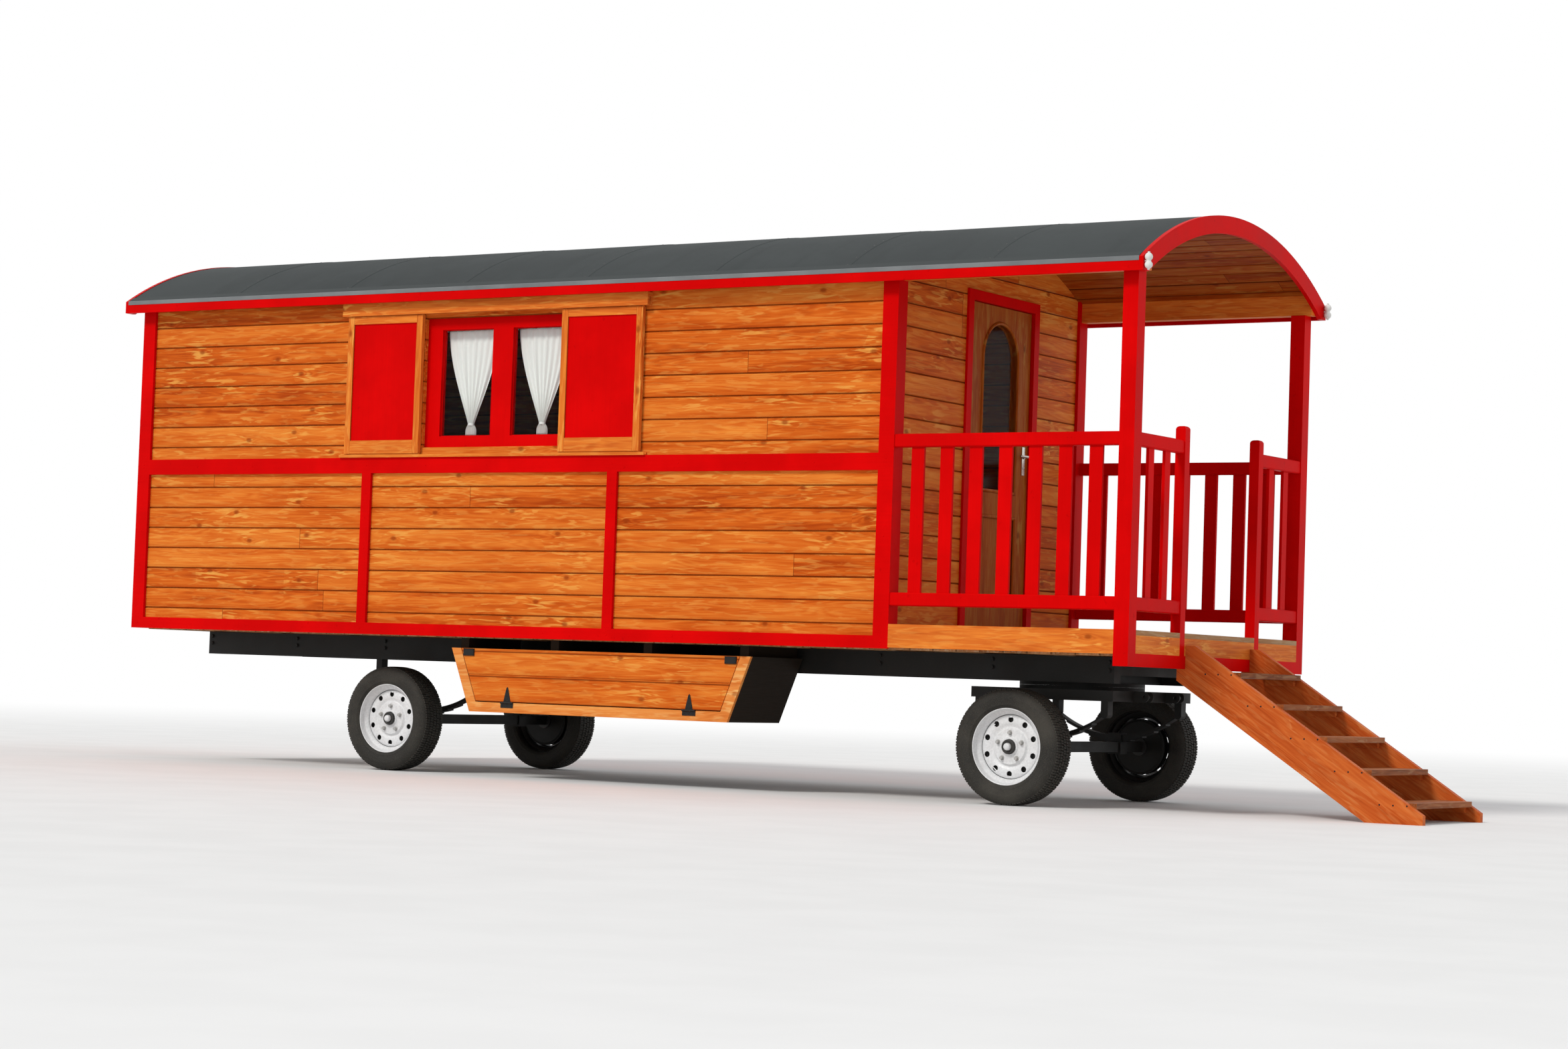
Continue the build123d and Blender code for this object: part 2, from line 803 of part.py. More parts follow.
# Railings: a top and a bottom rail with flat balusters let in between them
baluster_low = low_rail_top
baluster_top = rail_cap_top - rail_height
side_rail_mid = half_width - rail_depth / 2 - rail_setback
front_rail_mid = porch_front - rail_depth / 2 - rail_setback
rail_places = [baluster_low - rail_height / 2, baluster_top + rail_height / 2]
baluster_height = baluster_top - baluster_low
baluster_mid = (baluster_low + baluster_top) / 2
side_span = post_back - cabin_front
front_span = post_inner - gate_outer
side_pitch = (side_span + baluster_width) / (side_balusters + 1)
front_pitch = (front_span + front_baluster_width) / (front_balusters + 1)
side_middle = (cabin_front + post_back) / 2
front_middle = (post_inner + gate_outer) / 2
with BuildPart() as railings:
    with Locations([(side_middle, side * side_rail_mid, z) for side in SIDES for z in rail_places]):
        Box(side_span, rail_depth, rail_height)
    with Locations([(front_rail_mid, side * front_middle, z) for side in SIDES for z in rail_places]):
        Box(rail_depth, front_span, rail_height)
    long_edges = railings.edges().filter_by(Axis.X).filter_by(lambda edge: edge.length > rail_depth)
    cross_edges = railings.edges().filter_by(Axis.Y).filter_by(lambda edge: edge.length > rail_depth)
    chamfer(long_edges + cross_edges, length=rail_edge)
    with Locations([(side_middle, side * side_rail_mid, baluster_mid) for side in SIDES]):
        with GridLocations(side_pitch, 0, side_balusters, 1):
            Box(baluster_width, baluster_thickness, baluster_height)
    with Locations([(front_rail_mid, side * front_middle, baluster_mid) for side in SIDES]):
        with GridLocations(0, front_pitch, 1, front_balusters):
            Box(baluster_thickness, front_baluster_width, baluster_height)
save(railings, "railings")

# Windows: fixed frame with two lights, glass, and tied curtains hung inside each light
pane_width = (window_width - 2 * stile - middle_stile) / 2
pane_low = window_low + casement_rail
pane_top = window_top - casement_rail
pane_centres = [window_centre + s * (middle_stile + pane_width) / 2 for s in (-1, 1)]
casement_face = wall_face - casement_setback
casement_mid = casement_face - casement_thickness / 2
with BuildPart() as window_frames:
    for side in SIDES:
        with Locations((window_centre, side * casement_mid, window_middle_z)):
            Box(window_width, casement_thickness, window_top - window_low)
        for x in pane_centres:
            with Locations((x, side * casement_mid, (pane_low + pane_top) / 2)):
                Box(pane_width, 2 * casement_thickness, pane_top - pane_low, mode=Mode.SUBTRACT)
save(window_frames, "window_frames")

with BuildPart() as window_glass:
    for side in SIDES:
        for x in pane_centres:
            with Locations((x, side * casement_mid, (pane_low + pane_top) / 2)):
                Box(pane_width, glass_thickness, pane_top - pane_low)
save(window_glass, "window_glass")

curtain_tie = pane_low + curtain_tie_height
curtain_heights = (
    pane_top,
    pane_top - curtain_heading,
    (pane_top + curtain_tie) / 2,
    curtain_tie,
    pane_low + curtain_foot_gap,
)
curtain_outline = [(share / 2, z) for share, z in zip(curtain_shares, curtain_heights)]
with BuildPart() as curtains:
    for side in SIDES:
        with BuildSketch(Plane.XZ.offset(-side * (casement_face - casement_thickness - layer_gap))):
            for x in pane_centres:
                with BuildLine():
                    right = [(x + share * pane_width, z) for share, z in curtain_outline]
                    left = [(x - share * pane_width, z) for share, z in reversed(curtain_outline)]
                    Polyline(right + left, close=True)
                make_face()
        extrude(amount=side * curtain_thickness)
save(curtains, "curtains")

# Shutters slide in grooved tracks, one above and one below the window
shutter_inner = wall_face + shutter_air
shutter_outer = shutter_inner + shutter_thickness
shutter_mid = (shutter_inner + shutter_outer) / 2
shutter_height = shutter_top - shutter_low
shutter_middle_z = (shutter_low + shutter_top) / 2
groove_width = shutter_tongue + 2 * tongue_play
rear_shutter_x = window_centre - (window_width + shutter_width) / 2
front_shutter_x = window_centre + (window_width + shutter_width) / 2 - front_shutter_lap
track_rear = rear_shutter_x - shutter_width / 2 - track_end
track_front = front_shutter_x + shutter_width / 2 + track_end
guide_groove_floor = belt_top + guide_floor
track_outer_face = shutter_outer + track_lip
track_roof = track_top - track_cover
with BuildPart() as shutter_tracks:
    for side in SIDES:
        with BuildSketch(Plane.YZ.offset(track_rear)):
            with Locations((side * (wall_face + track_outer_face) / 2, (track_low + track_top) / 2)):
                Rectangle(track_outer_face - wall_face, track_top - track_low)
            with Locations((side * shutter_mid, (track_low + track_roof) / 2)):
                Rectangle(groove_width, track_roof - track_low, mode=Mode.SUBTRACT)
            with Locations((side * (wall_face + shutter_outer) / 2, (belt_top + guide_top) / 2)):
                Rectangle(shutter_outer - wall_face, guide_top - belt_top)
            with Locations((side * shutter_mid, (guide_groove_floor + guide_top) / 2)):
                Rectangle(groove_width, guide_top - guide_groove_floor, mode=Mode.SUBTRACT)
        extrude(amount=track_front - track_rear)
save(shutter_tracks, "shutter_tracks")

tongue_low = guide_groove_floor + layer_gap
tongue_top = track_roof - tongue_air
panel_width = shutter_width - 2 * shutter_member
panel_low = shutter_low + shutter_foot
panel_top = shutter_top - shutter_member
panel_middle_z = (panel_low + panel_top) / 2
for side in SIDES:
    for place, x in (("rear", rear_shutter_x), ("front", front_shutter_x)):
        with BuildPart() as shutter_frame:
            with Locations((x, side * shutter_mid, shutter_middle_z)):
                Box(shutter_width, shutter_thickness, shutter_height)
            with Locations((x, side * shutter_mid, panel_middle_z)):
                Box(panel_width, 2 * shutter_thickness, panel_top - panel_low, mode=Mode.SUBTRACT)
            with Locations((x, side * shutter_mid, (tongue_low + shutter_low) / 2)):
                Box(shutter_width, shutter_tongue, shutter_low - tongue_low)
            with Locations((x, side * shutter_mid, (tongue_top + shutter_top) / 2)):
                Box(shutter_width, shutter_tongue, tongue_top - shutter_top)
        save(shutter_frame, f"shutter_frame_{SIDE_NAME[side]}_{place}")
        with BuildPart() as shutter_panel:
            with Locations((x, side * shutter_mid, panel_middle_z)):
                Box(panel_width, panel_thickness, panel_top - panel_low)
        save(shutter_panel, f"shutter_panel_{SIDE_NAME[side]}_{place}")

# Door frame, with its hinge plates, knuckles and pins on the near jamb
leaf_outer = porch_wall_face - leaf_setback
leaf_inner = leaf_outer - door_thickness
leaf_edge = door_centre - door_width / 2
leaf_free_edge = door_centre + door_width / 2
hinge_x = leaf_inner - knuckle_radius - hinge_play
hinge_y = leaf_edge - door_gap / 2
hinge_heights = (floor_top + hinge_inset, door_top - hinge_inset)
with BuildPart() as door_frame:
    with BuildSketch(Plane.YZ.offset(leaf_inner)):
        with Locations((door_centre, (floor_top + opening_top) / 2)):
            Rectangle(opening_high_side - opening_low_side, opening_top - floor_top)
        with Locations((door_centre, (floor_top + door_top + door_gap) / 2)):
            Rectangle(door_width + 2 * door_gap, door_top + door_gap - floor_top, mode=Mode.SUBTRACT)
    extrude(amount=porch_wall_face - leaf_inner)
    with BuildSketch(Plane.YZ.offset(porch_wall_face)):
        with Locations((door_centre, (floor_top + door_top + door_gap + architrave) / 2)):
            Rectangle(door_width + 2 * (door_gap + architrave), door_top + door_gap + architrave - floor_top)
        with Locations((door_centre, (floor_top + door_top + door_gap) / 2)):
            Rectangle(door_width + 2 * door_gap, door_top + door_gap - floor_top, mode=Mode.SUBTRACT)
    extrude(amount=architrave_thickness)
    for z in hinge_heights:
        for end in (-1, 1):
            with Locations((hinge_x, hinge_y, z + end * (knuckle_height + layer_gap))):
                Cylinder(knuckle_radius, knuckle_height - layer_gap)
        with Locations((hinge_x, hinge_y, z)):
            Cylinder(pin_radius, 2 * knuckle_height)
        for end in (-1, 1):
            low = z + end * (knuckle_height / 2 + layer_gap)
            bar(
                (leaf_inner - hinge_plate, leaf_inner),
                (hinge_y - hinge_plate_width, hinge_y),
                (low, low + end * (knuckle_height - 2 * layer_gap)),
            )
save(door_frame, "door_frame")

with BuildPart() as cabin_door:
    with BuildSketch(Plane.YZ.offset(leaf_inner)):
        with Locations((door_centre, (floor_top + door_gap + door_top) / 2)):
            Rectangle(door_width, door_top - floor_top - door_gap)
        with BuildLine():
            head = ThreePointArc(
                (door_centre - light_width / 2, light_spring),
                (door_centre, light_spring + light_width / 2),
                (door_centre + light_width / 2, light_spring),
            )
            Polyline(
                head @ 0,
                (door_centre - light_width / 2, light_low),
                (door_centre + light_width / 2, light_low),
                head @ 1,
            )
        make_face(mode=Mode.SUBTRACT)
    extrude(amount=door_thickness)
    recess_low = floor_top + kick_rail
    recess_top = light_low - lock_rail
    recess_width = light_width + 2 * recess_margin
    for x in (leaf_inner, leaf_outer):
        with Locations((x, door_centre, (recess_low + recess_top) / 2)):
            Box(2 * recess_depth, recess_width, recess_top - recess_low, mode=Mode.SUBTRACT)
    for z in hinge_heights:
        bar(
            (leaf_inner - hinge_plate, leaf_inner),
            (hinge_y, hinge_y + hinge_plate_width),
            (z - knuckle_height / 2, z + knuckle_height / 2),
        )
        with Locations((hinge_x, hinge_y, z)):
            Cylinder(knuckle_radius, knuckle_height)
            Cylinder(pin_radius + pin_fit, knuckle_height, mode=Mode.SUBTRACT)
save(cabin_door, "cabin_door")

with BuildPart() as door_glass:
    with BuildSketch(Plane.YZ.offset(leaf_inner + (door_thickness - glass_thickness) / 2)):
        with BuildLine():
            head = ThreePointArc(
                (door_centre - light_width / 2, light_spring),
                (door_centre, light_spring + light_width / 2),
                (door_centre + light_width / 2, light_spring),
            )
            Polyline(
                head @ 0,
                (door_centre - light_width / 2, light_low),
                (door_centre + light_width / 2, light_low),
                head @ 1,
            )
        make_face()
    extrude(amount=glass_thickness)
save(door_glass, "door_glass")

handle_z = floor_top + handle_height
handle_y = leaf_free_edge - handle_setback
with BuildPart() as door_handle:
    for x, way in ((leaf_outer, 1), (leaf_inner, -1)):
        with Locations((x + way * rose_gauge / 2, handle_y, handle_z - rose_drop)):
            Box(rose_gauge, rose_width, rose_height)
        with Locations((x + way * handle_reach / 2, handle_y, handle_z)):
            Box(handle_reach, handle_neck, handle_neck)
        with Locations((x + way * handle_reach, handle_y + lever_overhang - lever_length / 2, handle_z)):
            Box(lever_gauge, lever_length, lever_height)
save(door_handle, "door_handle")

# Stairs: two stringers against the porch front, hooked under its red rail, with open treads
slope = rise / going
stringer_drop = stringer_depth / cos(atan(slope))
stair_back = porch_front + layer_gap
nosing_line = lowest_tread - tread_thickness + (tread_count - 1) * rise + nosing_reach * slope


def stringer_edge(reach):
    """Height of the stringers' upper edge at a distance in front of the porch."""
    return nosing_line - reach * slope


flat_end = (nosing_line - stringer_top) / slope
ground_end = (nosing_line - stringer_drop) / slope
hook_top = post_low - layer_gap
with BuildPart() as stair_stringers:
    for side in SIDES:
        with BuildSketch(Plane.XZ.offset(-side * (stair_width / 2 - stringer_thickness))):
            with BuildLine():
                Polyline(
                    (stair_back, stringer_top),
                    (porch_front + flat_end, stringer_top),
                    (porch_front + stair_foot, stringer_edge(stair_foot)),
                    (porch_front + stair_foot, 0),
                    (porch_front + ground_end, 0),
                    (porch_front - hook_length, stringer_edge(-hook_length) - stringer_drop),
                    (porch_front - hook_length, hook_top),
                    (stair_back, hook_top),
                    close=True,
                )
            make_face()
        extrude(amount=-side * stringer_thickness)
save(stair_stringers, "stair_stringers")

tread_span = stair_width - 2 * stringer_thickness
with BuildPart() as stair_treads:
    for number in range(tread_count):
        nosing = porch_front + nosing_reach + number * going
        top = lowest_tread + (tread_count - 1 - number) * rise
        bar((nosing - tread_depth, nosing), (-tread_span / 2, tread_span / 2), (top - tread_thickness, top))
save(stair_treads, "stair_treads")

# Chest: a hollow box with leaning ends, hung from the floor, closed by a flap on its face
chest_rear_x = porch_front - chest_rear_back
chest_front_x = porch_front - chest_front_back
chest_back = chest_face - chest_depth


def chest_section(inset, low, top, mode=Mode.ADD):
    """Chest outline moved in from both leaning ends, between two heights, in the open XZ sketch."""
    lean_low = inset + chest_slant * (chest_top - low) / chest_height
    lean_top = inset + chest_slant * (chest_top - top) / chest_height
    with BuildLine() as outline:
        Polyline(
            (chest_rear_x + lean_low, low),
            (chest_front_x - lean_low, low),
            (chest_front_x - lean_top, top),
            (chest_rear_x + lean_top, top),
            close=True,
        )
    make_face(outline.edges(), mode=mode)


with BuildPart() as chest_box:
    with BuildSketch(Plane.XZ.offset(chest_face)):
        chest_section(0, chest_low, chest_top)
        chest_section(chest_stile, chest_low + chest_sill, chest_top, Mode.SUBTRACT)
    extrude(amount=-chest_board)
    with BuildSketch(Plane.XZ.offset(chest_face - chest_board)):
        chest_section(0, chest_low, chest_top)
        chest_section(chest_board, chest_low + chest_board, chest_top - chest_board, Mode.SUBTRACT)
    extrude(amount=2 * chest_board - chest_depth)
    with BuildSketch(Plane.XZ.offset(chest_back + chest_board)):
        chest_section(0, chest_low, chest_top)
    extrude(amount=-chest_board)
    for number in range(hanger_count):
        x = chest_rear_x + hanger_setback
        x += number * (chest_front_x - chest_rear_x - 2 * hanger_setback - joist_width) / (hanger_count - 1)
        bar((x, x + joist_width), (-chest_face + hanger_setback, -chest_back), (chest_top, chassis_top))
save(chest_box, "chest_box")

flap_low = chest_low + chest_sill + chest_gap
flap_seam = (flap_low + chest_top) / 2
with BuildPart() as chest_door:
    with BuildSketch(Plane.YZ.offset(chest_rear_x)):
        flap_back = chest_board - chest_face
        cladding(-chest_face, flap_back, flap_low, chest_top, chest_top, seam=flap_seam, pitch=chest_height)
    extrude(amount=chest_front_x - chest_rear_x)
    with BuildSketch(Plane.XZ.offset(chest_face)):
        chest_section(chest_stile + chest_gap, flap_low, chest_top)
    extrude(amount=-chest_board, mode=Mode.INTERSECT)
save(chest_door, "chest_door")

# Strap hinges on the flap turn on pins held by base plates on the sill
barrel_y = -chest_face - barrel_radius - hinge_play
barrel_z = chest_low + chest_sill
strap_x = [porch_front - back for back in strap_backs]
along_x = (0, 90, 0)
with BuildPart() as chest_straps:
    for x in strap_x:
        with BuildSketch(Plane.XZ.offset(chest_face)):
            with BuildLine():
                Polyline(
                    (x - barrel_half, barrel_z),
                    (x + barrel_half, barrel_z),
                    (x + strap_point, flap_low + strap_length - strap_point),
                    (x, flap_low + strap_length),
                    (x - strap_point, flap_low + strap_length - strap_point),
                    close=True,
                )
            make_face()
        extrude(amount=strap_plate)
        with Locations(Location((x, barrel_y, barrel_z), along_x)):
            Cylinder(barrel_radius, 2 * barrel_half)
            Cylinder(barrel_pin + pin_fit, 2 * barrel_half, mode=Mode.SUBTRACT)
save(chest_straps, "chest_straps")

base_top = barrel_z - barrel_radius - base_air
with BuildPart() as chest_fittings:
    for x in strap_x:
        bar(
            (x - base_half, x + base_half),
            (-chest_face - strap_plate, -chest_face),
            (base_top - base_height, base_top),
        )
        for end in (-1, 1):
            near_end = x + end * (barrel_half + layer_gap)
            far_end = x + end * base_half
            bar((near_end, far_end), (-chest_face - strap_plate, -chest_face), (base_top, barrel_z))
            with Locations(Location(((near_end + far_end) / 2, barrel_y, barrel_z), along_x)):
                Cylinder(barrel_radius, abs(far_end - near_end))
        with Locations(Location((x, barrel_y, barrel_z), along_x)):
            Cylinder(barrel_pin, 2 * base_half)
save(chest_fittings, "chest_fittings")

catch_inset = chest_stile + chest_gap + catch_edge + catch_width / 2
catch_z = chest_top - catch_drop - catch_height / 2
with BuildPart() as chest_catches:
    for x in (chest_rear_x + catch_inset, chest_front_x - catch_inset):
        with Locations((x, -chest_face - catch_thickness / 2, catch_z)):
            Box(catch_width, catch_thickness, catch_height)
    chamfer(chest_catches.faces().sort_by(Axis.Y)[:2].edges(), length=catch_thickness / 3)
save(chest_catches, "chest_catches")
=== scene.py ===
"""Vardo wagon: a boarded living wagon with a roofed porch and stairs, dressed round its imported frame."""

import math

import bmesh
import bpy
from bpy.props import FloatProperty, FloatVectorProperty, IntProperty, PointerProperty
from mathutils import Matrix, Vector


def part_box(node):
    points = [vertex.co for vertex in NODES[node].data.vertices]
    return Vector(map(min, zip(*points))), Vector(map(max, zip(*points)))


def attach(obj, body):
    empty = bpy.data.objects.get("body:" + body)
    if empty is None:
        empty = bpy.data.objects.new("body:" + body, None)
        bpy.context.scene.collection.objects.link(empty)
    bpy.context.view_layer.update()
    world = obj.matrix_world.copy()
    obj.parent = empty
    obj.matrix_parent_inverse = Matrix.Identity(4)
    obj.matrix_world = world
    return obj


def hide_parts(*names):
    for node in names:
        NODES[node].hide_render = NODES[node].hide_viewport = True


bl_info = {
    "name": "Vardo Wagon",
    "version": (1, 0, 0),
    "blender": (4, 5, 0),
    "location": "3D View > Sidebar > Wagon",
    "description": "Builds the visible pieces and finishes of a boarded living wagon on its frame",
    "category": "Object",
}

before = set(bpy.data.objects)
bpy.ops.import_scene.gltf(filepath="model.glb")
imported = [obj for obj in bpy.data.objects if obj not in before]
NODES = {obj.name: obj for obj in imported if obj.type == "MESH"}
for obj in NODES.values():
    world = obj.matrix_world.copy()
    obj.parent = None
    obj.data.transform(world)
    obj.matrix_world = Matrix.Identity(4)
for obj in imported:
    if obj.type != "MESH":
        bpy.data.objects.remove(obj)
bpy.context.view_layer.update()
NEAR, FAR = "near", "far"
OUTWARD = {NEAR: -1, FAR: 1}
WHEELS = [(axle, side) for axle in ("front", "rear") for side in (NEAR, FAR)]


# Sizes and colours, with a short form for each kind of value


def length_of(name, note, default):
    return FloatProperty(name=name, description=note, default=default, unit="LENGTH")


def count_of(name, note, default, least=3):
    return IntProperty(name=name, description=note, default=default, min=least)


def angle_of(name, note, default):
    return FloatProperty(name=name, description=note, default=default, subtype="ANGLE")


def colour_of(name, note, default):
    return FloatVectorProperty(name=name, description=note, default=default, subtype="COLOR")


class VARDO_PG_wheels(bpy.types.PropertyGroup):
    """Sizes of the tyres and the pressed wheels"""

    tread_depth: length_of("Tread depth", "Depth of the tread grooves", 0.008)
    tread_steps: count_of("Tread steps", "Rows of tread blocks round a tyre", 64, least=20)
    vents: count_of("Vents", "Round holes in a wheel disc", 10)
    vent_radius: length_of("Vent radius", "Radius of a hole in the disc", 0.0165)
    vent_circle: length_of("Vent circle", "Distance of the holes from the axle", 0.151)
    nuts: count_of("Wheel nuts", "Nuts that hold a wheel", 5)
    nut_circle: length_of("Nut circle", "Distance of the nuts from the axle", 0.078)


class VARDO_PG_cover(bpy.types.PropertyGroup):
    """Sizes of the roof boards and the roofing"""

    board_count: count_of("Roof boards", "Boards across the arched lining", 25, least=5)
    board_chamfer: length_of("Board chamfer", "Chamfer on the lower edges of a roof board", 0.005)
    strip_width: length_of("Strip width", "Width of a roofing strip that shows", 0.92)
    nail_pitch: length_of("Nail pitch", "Distance between the nails on a lap", 0.11)


class VARDO_PG_curtains(bpy.types.PropertyGroup):
    """Sizes of the tied curtains"""

    fullness: FloatProperty(
        name="Fullness", description="Cut width of a curtain over the width of its pane", default=1.3
    )
    folds: count_of("Folds", "Folds across a curtain", 8)
    tie_share: FloatProperty(
        name="Tie share", description="Place of the tie, as a share of the drop", default=0.895, subtype="FACTOR"
    )
    thickness: length_of("Cloth thickness", "Thickness of the cloth", 0.0008)


class VARDO_PG_colours(bpy.types.PropertyGroup):
    """Main colours of the wagon"""

    board_light: colour_of("Board light", "Lightest grain", (0.80, 0.245, 0.034))
    board_mid: colour_of("Board middle", "Main tone", (0.63, 0.118, 0.010))
    board_dark: colour_of("Board dark", "Darkest grain", (0.39, 0.048, 0.003))
    red: colour_of("Red", "Paint of the trim", (0.69, 0.0018, 0.0020))
    roof: colour_of("Roof", "Roofing strips", (0.053, 0.060, 0.061))
    curtain: colour_of("Curtain", "Curtain cloth", (0.90, 0.90, 0.88))


class VARDO_PG_stage(bpy.types.PropertyGroup):
    """Floor, light and camera"""

    floor_radius: length_of("Floor radius", "Radius of the floor", 70.0)
    sky_light: FloatProperty(name="Sky light", description="Strength of the even light", default=0.58)
    key_light: FloatProperty(name="Key light", description="Strength of the main light", default=1.8)
    lens: FloatProperty(name="Lens", description="Focal length in millimetres", default=74.5)
    camera_place: FloatVectorProperty(
        name="Camera place", description="Where the camera stands", subtype="XYZ", default=(10.728, -16.713, 0.666)
    )
    camera_yaw: angle_of("Yaw", "Turn of the camera", 0.5695)
    camera_pitch: angle_of("Pitch", "Tilt of the camera", 0.04705)
    camera_roll: angle_of("Roll", "Lean of the camera", 0.03426)


# Node helpers


class Nodes:
    """Short calls that add and link the nodes of a tree"""

    prefix = "ShaderNode"

    def __init__(self, tree):
        self.tree = tree

    def add(self, kind, inputs=None, **settings):
        node = self.tree.nodes.new(self.prefix + kind)
        for key, value in settings.items():
            setattr(node, key, value)
        for key, value in (inputs or {}).items():
            self.feed(node.inputs[key], value)
        return node

    def feed(self, socket, value):
        if isinstance(value, bpy.types.NodeSocket):
            self.tree.links.new(value, socket)
        else:
            socket.default_value = value

    def math(self, operation, first, second=0.0, third=0.0):
        return self.add("Math", {0: first, 1: second, 2: third}, operation=operation).outputs[0]

    def seen(self):
        """1 on what the camera sees, straight or by way of a mirror or glass."""
        rays = self.add("LightPath").outputs
        seen = self.math("MAXIMUM", rays["Is Camera Ray"], rays["Is Glossy Ray"])
        return self.math("MAXIMUM", seen, rays["Is Transmission Ray"])

    def show(self, share, first, second):
        """Make a mix of two shaders what the tree puts out."""
        blend = self.add("MixShader", {0: share, 1: first.outputs[0], 2: second.outputs[0]})
        output = next(n for n in self.tree.nodes if n.type in ("OUTPUT_MATERIAL", "OUTPUT_WORLD"))
        self.feed(output.inputs["Surface"], blend.outputs[0])


class Finish(Nodes):
    """A material in the making, with short calls for the nodes that the finishes share"""

    def __init__(self, name):
        self.material = bpy.data.materials.new(name)
        self.material.use_nodes = True
        super().__init__(self.material.node_tree)
        self.surface = next(n for n in self.tree.nodes if n.type == "BSDF_PRINCIPLED")
        self.place = self.add("TexCoord").outputs["Object"]

    def times(self, first, second):
        return self.math("MULTIPLY", first, second)

    def away(self, value, middle):
        """Distance of a value from a middle one."""
        return self.math("ABSOLUTE", self.math("SUBTRACT", value, middle))

    def vector(self, x, y, z):
        return self.add("CombineXYZ", {0: x, 1: y, 2: z}).outputs[0]

    def axes(self, vector):
        return self.add("SeparateXYZ", {"Vector": vector}).outputs

    def scaled(self, scale):
        return self.add("VectorMath", {0: self.place, 1: scale}, operation="MULTIPLY").outputs[0]

    def noise(self, vector, scale=1.0, detail=3.0, roughness=0.5, distortion=0.0):
        inputs = {"Vector": vector, "Scale": scale, "Detail": detail, "Roughness": roughness}
        return self.add("TexNoise", {**inputs, "Distortion": distortion}).outputs[0]

    def random(self, vector):
        return self.add("TexWhiteNoise", {"Vector": vector}, noise_dimensions="3D").outputs["Value"]

    def band(self, value, low, high, to_low=0.0, to_high=1.0):
        inputs = {"Value": value, "From Min": low, "From Max": high, "To Min": to_low, "To Max": to_high}
        return self.add("MapRange", inputs, interpolation_type="SMOOTHSTEP").outputs[0]

    def ramp(self, factor, stops):
        node = self.add("ValToRGB", {"Fac": factor})
        elements = node.color_ramp.elements
        while len(elements) < len(stops):
            elements.new(0.5)
        for element, (position, colour) in zip(elements, stops):
            element.position = position
            element.color = (*colour, 1)
        return node.outputs["Color"]

    def mix(self, factor, first, second):
        node = self.add("Mix", data_type="RGBA")
        for index, value in ((0, factor), (6, first), (7, second)):
            self.feed(node.inputs[index], (*value, 1) if isinstance(value, tuple) else value)
        return node.outputs[2]

    def toward(self, base, other, value, low, high, share=1.0):
        """A colour that goes from base to a share of other while the value goes from low to high."""
        return self.mix(self.band(value, low, high, 0.0, share), base, other)

    def choose(self, share, first, second):
        """First where the share is 0, second where it is 1."""
        return self.math("MULTIPLY_ADD", self.math("SUBTRACT", second, first), share, first)

    def bump(self, height, strength, distance):
        inputs = {"Height": height, "Strength": strength, "Distance": distance}
        self.feed(self.surface.inputs["Normal"], self.add("Bump", inputs).outputs[0])

    def done(self, colour, roughness, **constants):
        self.feed(self.surface.inputs["Base Color"], (*colour, 1) if isinstance(colour, tuple) else colour)
        self.feed(self.surface.inputs["Roughness"], roughness)
        for key, value in constants.items():
            self.surface.inputs[key.replace("_", " ")].default_value = value
        return self.material


def shade(colour, amount):
    """A colour made lighter or darker."""
    return tuple(channel * amount for channel in colour)


